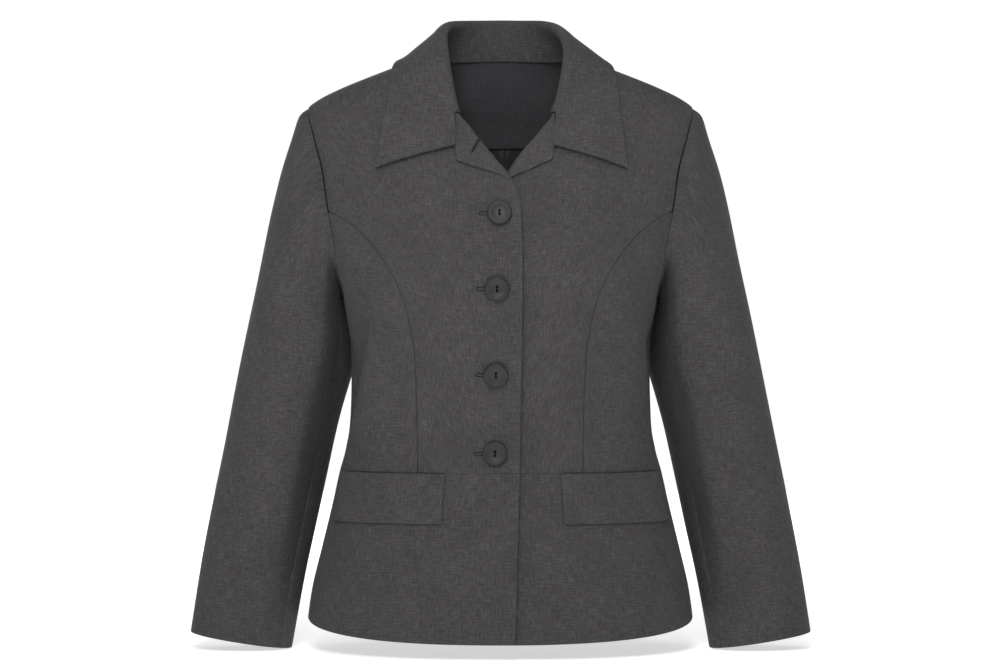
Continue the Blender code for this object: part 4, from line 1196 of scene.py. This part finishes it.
def collar_station(side, place):
    """Section of the collar at one place: its stand, roll and fall."""
    row = collar_values(side, place)
    last = collar_values(side, len(COLLAR[1]) - 1)
    along = unit(collar_values(side, place + 1)["roll"] - collar_values(side, place - 1)["roll"])
    if place == 0:
        along = np.array([side, 0.0, 0.0])
    drop, roll, edge = row["neck_drop"], row["roll"], row["edge"]
    turn = turn_at(front_edge[side](drop), drop) if row["neck_turn"] is None else row["neck_turn"]
    tuck = STAND_TUCK * (drop == 0)
    inside = COLLAR_CLOTH + LYING_GAP / 2 * (drop == 0)
    neck = body(side, turn, drop + tuck) - body_out(side, turn, drop) * inside
    if row["bend"] == 1.0:
        turn = turn_at(abs(roll[0]), -roll[2])
        depth = BODY_CLOTH / 2 + (under_lap(abs(roll[0]), -roll[2]) if side > 0 else 0.0)
        roll = body(side, turn, -roll[2]) - body_out(side, turn, -roll[2]) * depth
    rise = unit(roll - neck)
    neck = neck + rise * SEAM_GAP * (drop > 0)
    gorge_x, gorge_drop = GORGE[side]
    gorge = body(side, turn_at(gorge_x, gorge_drop), gorge_drop)
    pull = gorge - (last["roll"] + (last["edge"] - last["roll"]) * GORGE_SHARE)
    corner = roll + (edge - roll) * GORGE_SHARE + pull * row["bend"]
    points = []
    for share in FALL_STEPS:
        if share <= GORGE_SHARE:
            points.append(roll + (corner - roll) * share / GORGE_SHARE)
        else:
            points.append(corner + (edge - corner) * (share - GORGE_SHARE) / (1 - GORGE_SHARE))
    lift_share = FALL_LIFT + (END_LIFT - FALL_LIFT) * row["bend"]
    section = folded_section(neck, roll, along, points, COLLAR_ROLL, lift_share)
    settled = len(STAND_STEPS) - 1 + len(ROLL_TURNS) - 1
    return [point if k < settled else clear_of_body(point, COLLAR_CLOTH + LYING_GAP)
            for k, point in enumerate(section)]


print("points in a section:", len(collar_station(-1, 0)))

# %% [markdown]
# A smooth curve through the stations keeps the sheet free of kinks, and it passes through each
# station, so the points and the gorge stay where the table puts them.

# %% Surface through the stations
COLLAR_FACES = (4.0, 3.2)


def refine(grid, steps):
    """The surface through a coarse grid of stations, smooth between them, at finer steps in mm."""
    for axis, step in enumerate(steps):
        grid = np.moveaxis(grid, axis, 0)
        knots = np.concatenate([[0], np.cumsum(np.linalg.norm(np.diff(grid, axis=0), axis=-1).mean(axis=1))])
        slopes = np.gradient(grid, knots, axis=0)
        at = spaced(knots, step)
        i = np.clip(np.searchsorted(knots, at, side="right") - 1, 0, len(knots) - 2)
        width = (knots[i + 1] - knots[i])[:, None, None]
        t = ((at - knots[i]) / width[:, 0, 0])[:, None, None]
        start = (1 + 2 * t) * (1 - t) ** 2 * grid[i] + t * (1 - t) ** 2 * width * slopes[i]
        end = t * t * (3 - 2 * t) * grid[i + 1] + t * t * (t - 1) * width * slopes[i + 1]
        grid = np.moveaxis(start + end, 0, axis)
    return grid


print("collar faces, mm long and wide:", COLLAR_FACES)

# %% Collar
places = range(len(COLLAR[1]))
stations = [collar_station(-1, place) for place in reversed(places)]
stations += [collar_station(1, place) for place in places][1:]
collar = lay_cloth("collar", refine(np.array(stations), COLLAR_FACES), COLLAR_CLOTH, suiting)
facing_map(collar.data)

# %% [markdown]
# ## Lapels
#
# Below the collar each front's edge turns outwards along the roll line into a small lapel. Its
# section tucks behind the front, goes round the fold and lies on the chest. Bending a flat corner
# would stretch it at the break, so it is built in sections, as the collar is. The first section is
# the collar's own end, because the gorge seam joins the two edge to edge.

# %% Tables of the lapels
ROLL_LINE = (("drop", "right_x", "left_x"), (
    (45, 45.3, 59),
    (64, 41, 53),
    (77, 30.6, 42.7),
    (90, 21.2, 32),
    (101, 12, 22),
    (116, 0, 11),
    (122, -5.8, 7.2),
    (131, -11, 1),
))
LAPEL_RIGHT = (
    # place on the roll line, then x and drop of the outer edge
    (64, 44.2, 98.6),
    (68, 43.9, 102),
    (71, 43.9, 106.5),
    (77, 43.6, 112.6),
    (86, 34.5, 116.8),
    (96, 24, 120.5),
    (106, 13, 123.8),
    (113, 5.5, 126.2),
    (119, -1.2, 129.2),
    (124, -5.2, 131.8),
    (128, -8.4, 133.4),
)
LAPEL_LEFT = (
    # place on the roll line, then x and drop of the outer edge
    (64, 51.4, 98.4),
    (68, 51.8, 101),
    (72, 52, 104.5),
    (79, 51.5, 111.4),
    (88, 41.5, 115.6),
    (98, 32, 119.8),
    (107, 23, 123.6),
    (113, 17.5, 125.8),
    (118.5, 12.5, 128.2),
    (122.5, 9.4, 130),
)
LAPEL_ROLL, LAPEL_TUCK, LAPEL_TURN, LAPEL_FACES = 3.3, 7.0, 1.0, 2.5
LAPEL_STEPS = (0.0, 0.33, 0.67, 1.0)
GORGE_STEPS = (0.04, 0.36, 0.68, 1.0)
roll_line = {-1: curve(ROLL_LINE, "right_x"), 1: curve(ROLL_LINE, "left_x")}
print("lapel sections:", len(LAPEL_RIGHT), len(LAPEL_LEFT))


# %% Sections of the lapels
def lapel_point(side, row, share, out):
    """Point on the way from the roll line to the lapel's edge, this far off the front."""
    roll_drop, edge_x, edge_drop = row
    x = roll_line[side](roll_drop) * (1 - share) + edge_x * share
    drop = roll_drop * (1 - share) + edge_drop * share
    turn = turn_at(x, drop)
    sunk = under_lap(x, drop) if side > 0 else 0.0
    return body(side, turn, drop) + body_out(side, turn, drop) * (out - sunk)


def lapel_station(side, row):
    """Section of a lapel: its tuck behind the front, its roll and its flat part."""
    roll_drop, edge_x, edge_drop = row
    start_x = roll_line[side](roll_drop)
    out = body_out(side, turn_at(start_x, roll_drop), roll_drop)
    roll = lapel_point(side, row, 0.0, -BODY_CLOTH / 2)
    span = math.hypot(start_x - edge_x, roll_drop - edge_drop)
    first = (LAPEL_ROLL + LAPEL_TURN) / span
    above = LAPEL_GAP + LAPEL_CLOTH
    points = [lapel_point(side, row, first + (1 - first) * step, above) for step in LAPEL_STEPS]
    tuck = lapel_point(side, row, min(LAPEL_TUCK / span, 1.0), -(BODY_CLOTH + LYING_GAP + LAPEL_CLOTH))
    into = points[0] - roll
    into = unit(into - out * (into @ out))
    section = [tuck]
    for turn in ROLL_TURNS:
        angle = math.radians(turn)
        section.append(roll + (out * math.sin(angle) + into * (1 - math.cos(angle))) * LAPEL_ROLL)
    return section + points


def gorge_station(side, row):
    """The first section of the lapel is the collar's own end, because the gorge joins the two."""
    end = collar_station(side, len(COLLAR[1]) - 1)
    fold, corner = len(STAND_STEPS) - 1, FALL_STEPS.index(GORGE_SHARE)
    flat = np.array(end[fold + len(ROLL_TURNS) - 1:fold + len(ROLL_TURNS) + corner + 1])
    along = np.concatenate([[0], np.cumsum(np.linalg.norm(np.diff(flat, axis=0), axis=1))])
    at = [along[-1] * share for share in GORGE_STEPS]
    points = [np.array([np.interp(place, along, flat[:, axis]) for axis in range(3)]) for place in at]
    return [lapel_station(side, row)[0]] + end[fold:fold + len(ROLL_TURNS)] + points


print("points in a lapel's section:", len(lapel_station(-1, LAPEL_RIGHT[1])))

# %% Lapels
lapels = {}
for side, word, rows in ((-1, "right", LAPEL_RIGHT), (1, "left", LAPEL_LEFT)):
    grid = [gorge_station(side, rows[0])] + [lapel_station(side, row) for row in rows[1:]]
    grid = refine(np.array(grid), (LAPEL_FACES, LAPEL_FACES))
    lapels[side] = lay_cloth(f"lapel_{word}", grid, LAPEL_CLOTH, suiting,
                             inward=side > 0)

# %% [markdown]
# ## Inside the neck
#
# The back neck is faced with suiting from shoulder to shoulder. It is deepest at the centre back and
# rises a little at the top, up to the collar's stand. Its lower edge stands off the back by 2 mm,
# because the lining's edge is turned in and sewn under it.

# %% Facing
FACING_DEPTH, FACING_SIDE, FACING_FALL = 89.0, 12.0, 2.2
FACING_RISE, RISE_SHARE, RISE_FROM, RISE_WIDE = 3.0, 0.12, 0.2, 0.5
FACING_LIP, LIP_FROM = 2.2, 0.72
CREASE, CREASE_TURN, CREASE_WIDE, CREASE_FADE = 0.3, 179.1, 0.8, 0.4


def facing_depth(turn):
    """Deepest at the centre back, shallow at the shoulder seams."""
    return FACING_SIDE + (FACING_DEPTH - FACING_SIDE) * np.abs(np.cos(np.radians(turn))) ** FACING_FALL


turn = spaced((103, 257), 1.6, 0.3)[None, :]
step = spaced((0, 1), 0.06, 0.012)[:, None]
drop = SEAM_GAP + facing_depth(turn) * step
crease = CREASE * hill((turn - CREASE_TURN) / CREASE_WIDE) * smooth(step / CREASE_FADE)
lip = FACING_LIP * smooth((step - LIP_FROM) / (1 - LIP_FROM)) + 0 * turn
grid = on_body(1, turn + 0 * drop, drop, BODY_CLOTH + LYING_GAP + crease + lip)
behind = smooth((np.sin(np.radians(turn - 90)) - RISE_FROM) / RISE_WIDE)
grid[..., 2] += FACING_RISE * smooth(1 - step / RISE_SHARE) * behind
lay_cloth("back_neck_facing", grid, FACING_CLOTH, facing_suiting_painted_shade,
          inward=True)

# %% [markdown]
# The lining hangs below the facing and starts 4 mm under its edge. Its centre pleat lets the back
# stretch. Pressed, the pleat is a fine dark groove between two low rises.

# %% Lining with its pleat
LINING_END, LINING_TUCK = 245.0, 4.0
PLEAT_RISE, PLEAT_EDGE, PLEAT_GROOVE, PLEAT_START, PLEAT_END = 2.2, 179.22, 0.13, 177.4, 181.0
PLEAT_COLUMNS = np.arange(177, 181.01, 0.0625)

turn = np.array(sorted(set(spaced((134, 226), 2.0, 0.3)) | set(PLEAT_COLUMNS)))[None, :]
step = spaced((0, 1), 0.035, 0.008)[:, None]
high = facing_depth(turn) - LINING_TUCK
drop = high + (LINING_END - high) * step
pleat = PLEAT_RISE * window(turn, PLEAT_START, PLEAT_END, 1.4, 1.2)
pleat = (pleat - PLEAT_RISE * hill((turn - PLEAT_EDGE) / PLEAT_GROOVE)) * smooth((step - 0.02) / 0.05)
lay_cloth("back_lining", on_body(1, turn + 0 * drop, drop, BODY_CLOTH + 2 * LYING_GAP + pleat), LINING_CLOTH,
          lining, inward=True)

# %% [markdown]
# ## Buttons
#
# A two-hole button is turned from a moulded disc: a raised rim, a fine ring inside it and a shallow
# dish. A profile could be spun round its axis, but insetting shows each cut of the tool. One is
# modelled from a cylinder by insetting and moving its face, its edges are bevelled, and the holes
# are cut. Then it is copied to the four places on the front.

# %% Turning one button
BUTTON_RADIUS, BUTTON_THICK, BUTTON_EDGE, AXIS_NEAR = 12.1, 2.6, 0.7, 0.1
TURNED_FACE = (
    # inset, then rise
    (1.2, 1.7),
    (1.2, 0.1),
    (0.6, -0.7),
    (0.6, 0.2),
    (2.0, -0.85),
    (3.2, -0.3),
)


def top_face_only(piece):
    """Selects the face that looks up and lies nearest the axis."""
    bpy.ops.mesh.select_all(action="DESELECT")
    bpy.ops.object.mode_set(mode="OBJECT")
    faces = [face for face in piece.data.polygons
             if face.normal.z > 0.5 and math.hypot(*face.center[:2]) < AXIS_NEAR * MM]
    faces[0].select = True
    bpy.ops.object.mode_set(mode="EDIT")


bpy.ops.object.select_all(action="DESELECT")
bpy.ops.mesh.primitive_cylinder_add(vertices=72, radius=BUTTON_RADIUS * MM, depth=BUTTON_THICK * MM,
                                    location=(0, 0, BUTTON_THICK * MM / 2))
disc = bpy.context.active_object
bpy.ops.object.transform_apply(location=True)
bpy.ops.object.mode_set(mode="EDIT")
for inset, rise in TURNED_FACE:
    top_face_only(disc)
    bpy.ops.mesh.inset(thickness=inset * MM)
    bpy.ops.transform.translate(value=(0, 0, rise * MM))
bpy.ops.object.mode_set(mode="OBJECT")
rounded = disc.modifiers.new("rounded", "BEVEL")
rounded.width = BUTTON_EDGE * MM
rounded.segments = 4
rounded.limit_method = "ANGLE"
rounded.angle_limit = math.radians(24)
bpy.ops.object.modifier_apply(modifier="rounded")
print("button, mm across:", 2 * BUTTON_RADIUS)

# %% [markdown]
# The two holes are drilled right through, one above the other.

# %% Drilling its holes
HOLE_RADIUS, HOLE_APART = 1.4, 1.95
for end in (-1, 1):
    bpy.ops.object.select_all(action="DESELECT")
    bpy.ops.mesh.primitive_cylinder_add(vertices=28, radius=HOLE_RADIUS * MM, depth=4 * BUTTON_THICK * MM,
                                        location=(0, end * HOLE_APART * MM, 0))
    drill = bpy.context.active_object
    bpy.context.view_layer.objects.active = disc
    hole = disc.modifiers.new("hole", "BOOLEAN")
    hole.object = drill
    hole.solver = "EXACT"
    bpy.ops.object.modifier_apply(modifier="hole")
    bpy.data.objects.remove(drill, do_unlink=True)
bpy.ops.object.select_all(action="DESELECT")
disc.select_set(True)
bpy.context.view_layer.objects.active = disc
bpy.ops.object.shade_smooth_by_angle(angle=math.radians(35))
disc.data.materials.append(button_resin)
print("button faces:", len(disc.data.polygons))


# %% [markdown]
# Thread is a round cord along a line of points. A beaded line, thick and thin by turns, reads as a
# row of purl stitches.

# %% Strands of thread
def strand(name, lines, radius, closed=False, wobble=0.0):
    """Threads as one piece: each line of points, in mm, becomes a round cord with a soft twist."""
    cord = bpy.data.curves.new(name, "CURVE")
    cord.dimensions = "3D"
    cord.bevel_depth = radius * MM
    cord.bevel_resolution = 2
    cord.use_fill_caps = True
    for line in lines:
        spline = cord.splines.new("POLY")
        spline.points.add(len(line) - 1)
        for k, (point, place) in enumerate(zip(spline.points, line)):
            point.co = (*(np.asarray(place) * MM), 1.0)
            point.radius = 1 + wobble * (-1) ** k
        spline.use_cyclic_u = closed
    piece = bpy.data.objects.new(name, cord)
    scene.collection.objects.link(piece)
    bpy.ops.object.select_all(action="DESELECT")
    piece.select_set(True)
    bpy.context.view_layer.objects.active = piece
    bpy.ops.object.convert(target="MESH")
    piece = bpy.context.active_object
    piece.data.name = name
    bpy.ops.object.shade_smooth()
    piece.data.materials.append(thread)
    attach(piece, "root")
    return piece


# %% [markdown]
# Each button is turned to lie on the cloth at its place and sits on a wound shank. Three strands
# come up through one hole, cross the dish and go down through the other.

# %% Buttons on the front
BUTTONS = (
    # x, drop
    (-0.8, 166.3),
    (-3.3, 240.6),
    (-4.3, 324.8),
    (-5.2, 402.7),
)
BUTTON_SEAT = 0.9
THREAD_PATH = (
    # along the button, then height over its back
    (-HOLE_APART, 0.6),
    (-HOLE_APART, 2.4),
    (-1.6, 2.95),
    (-0.8, 3.1),
    (0, 3.15),
    (0.8, 3.1),
    (1.6, 2.95),
    (HOLE_APART, 2.4),
    (HOLE_APART, 0.6),
)
STRANDS_AT, STRAND_THICK = (-0.42, 0.0, 0.42), 0.26
SHANK_RADIUS, SHANK_THICK, SHANK_LOW, SHANK_RISE, SHANK_TURN, SHANK_POINTS = 2.0, 0.4, -0.75, 0.01, 0.5, 88
for number, (x, drop) in enumerate(BUTTONS, start=1):
    turn = turn_at(abs(x), drop)
    out = Vector(body_out(-1, turn, drop))
    seat = Vector(on_body(-1, turn, drop)) + out * BUTTON_SEAT
    across = Vector((0, 0, 1)).cross(out).normalized()
    placed = Matrix((across, out.cross(across), out)).transposed().to_4x4()
    placed.translation = seat * MM
    piece = disc.copy()
    piece.data = disc.data.copy()
    piece.name = f"button_{number}_disc"
    scene.collection.objects.link(piece)
    piece.data.transform(placed)
    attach(piece, "root")
    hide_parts(f"button_{number}")
    loops = [[(offset, y, z) for y, z in THREAD_PATH] for offset in STRANDS_AT]
    sewn = strand(f"button_{number}_thread", loops, STRAND_THICK)
    sewn.data.transform(placed)
    coil = [(SHANK_RADIUS * math.cos(k * SHANK_TURN), SHANK_RADIUS * math.sin(k * SHANK_TURN),
             SHANK_LOW + SHANK_RISE * k) for k in range(SHANK_POINTS)]
    wound = strand(f"button_{number}_shank", [coil], SHANK_THICK)
    wound.data.transform(placed)
bpy.data.objects.remove(disc, do_unlink=True)
print("buttons sewn on:", len(BUTTONS))

# %% [markdown]
# ## Buttonholes
#
# Each buttonhole is a slit with a row of purl stitches round it. Only its outer end shows beside the
# button. One more is worked on the right lapel, for wearing the collar closed. A picture of stitches
# would lie flat, so the stitches are a beaded ring laid on the cloth where a ray from the front meets
# it. The slit is a fine near-black cord sunk into the cloth. It stands for the thread at the slit's
# edges, and as painted shade for the dark of the cut opening between them.

# %% One buttonhole
STITCH, SLIT_SHADE_THICK, SLIT_SHADE_SUNK, STITCH_SUNK, PURL = 0.45, 0.16, 0.1, 0.15, 0.22
END_ANGLES = np.linspace(0.5, 2.64, 5)


def on_cloth(piece, x, z):
    """Where a straight line from the front meets a piece, in mm, and which way its cloth faces."""
    hit, place, out, _ = piece.ray_cast(Vector((x * MM, -1.0, z * MM)), Vector((0, 1, 0)))
    assert hit, (piece.name, x, z)
    return np.array(place) / MM, np.array(out)


def buttonhole(name, piece, start, end, half, bead):
    """A stitched slit on a piece, from start to end as seen from the front, in mm."""
    start, end = np.array(start, float), np.array(end, float)
    along = unit(end - start)
    beside = np.array([-along[1], along[0]])
    length = np.linalg.norm(end - start)
    count = int(length / STITCH)
    ring = [start + along * length * k / count + beside * half for k in range(count + 1)]
    ring += [end + (along * math.sin(a) + beside * math.cos(a)) * half for a in END_ANGLES]
    ring += [end - along * length * k / count - beside * half for k in range(count + 1)]
    ring += [start - (along * math.sin(a) + beside * math.cos(a)) * half for a in END_ANGLES]
    laid = []
    for x, z in ring:
        place, out = on_cloth(piece, x, z)
        laid.append(place + out * bead * STITCH_SUNK)
    strand(f"{name}_stitches", [laid], bead, closed=True, wobble=PURL)
    # The slit's near-black cord is partly thread and partly painted shade for the dark opening between the
    # stitches.
    slit = []
    for k in range(count + 1):
        place, out = on_cloth(piece, *(start + along * length * k / count))
        slit.append(place - out * SLIT_SHADE_SUNK)
    strand(f"{name}_slit", [slit], SLIT_SHADE_THICK)
    print(f"{name}: {length:.1f} mm long, {count} stitches a side")


# %% Buttonholes of the front and the lapel
OUTER_END, INNER_END, HOLE_HALF, HOLE_BEAD = 18.6, 2.0, 1.7, 0.34
LAPEL_HOLE, LAPEL_HALF, LAPEL_BEAD = ((-21.6, -92.6), (-27.6, -103.6)), 0.8, 0.4
front_right = bpy.data.objects["front_right_cloth"]
for number, (x, drop) in enumerate(BUTTONS, start=1):
    buttonhole(f"buttonhole_{number}", front_right, (x - OUTER_END, -drop), (x + INNER_END, -drop),
               HOLE_HALF, HOLE_BEAD)
buttonhole("lapel_buttonhole", lapels[-1], *LAPEL_HOLE, LAPEL_HALF, LAPEL_BEAD)

# %% [markdown]
# The left lapel has one short stitch of thread showing, where the other side's hole would meet it.

# %% Stitch on the left lapel
STITCH_AT = ((36.6, -102.2), (37.2, -103.5), (37.6, -104.8))
strand("lapel_thread_mark", [[on_cloth(lapels[1], x, z)[0] for x, z in STITCH_AT]], 0.3)
print("stitch on the left lapel, mm:", round(math.dist(STITCH_AT[0], STITCH_AT[-1]), 1))

# %% [markdown]
# ## Size
#
# The dressed model must fill the same box as the plain solids, give or take the folds.

# %% Size of the finished model
low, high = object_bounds()
print("finished box, mm:", [round(v / MM, 1) for v in (*low, *high)])
print("sheets:", SHEETS)
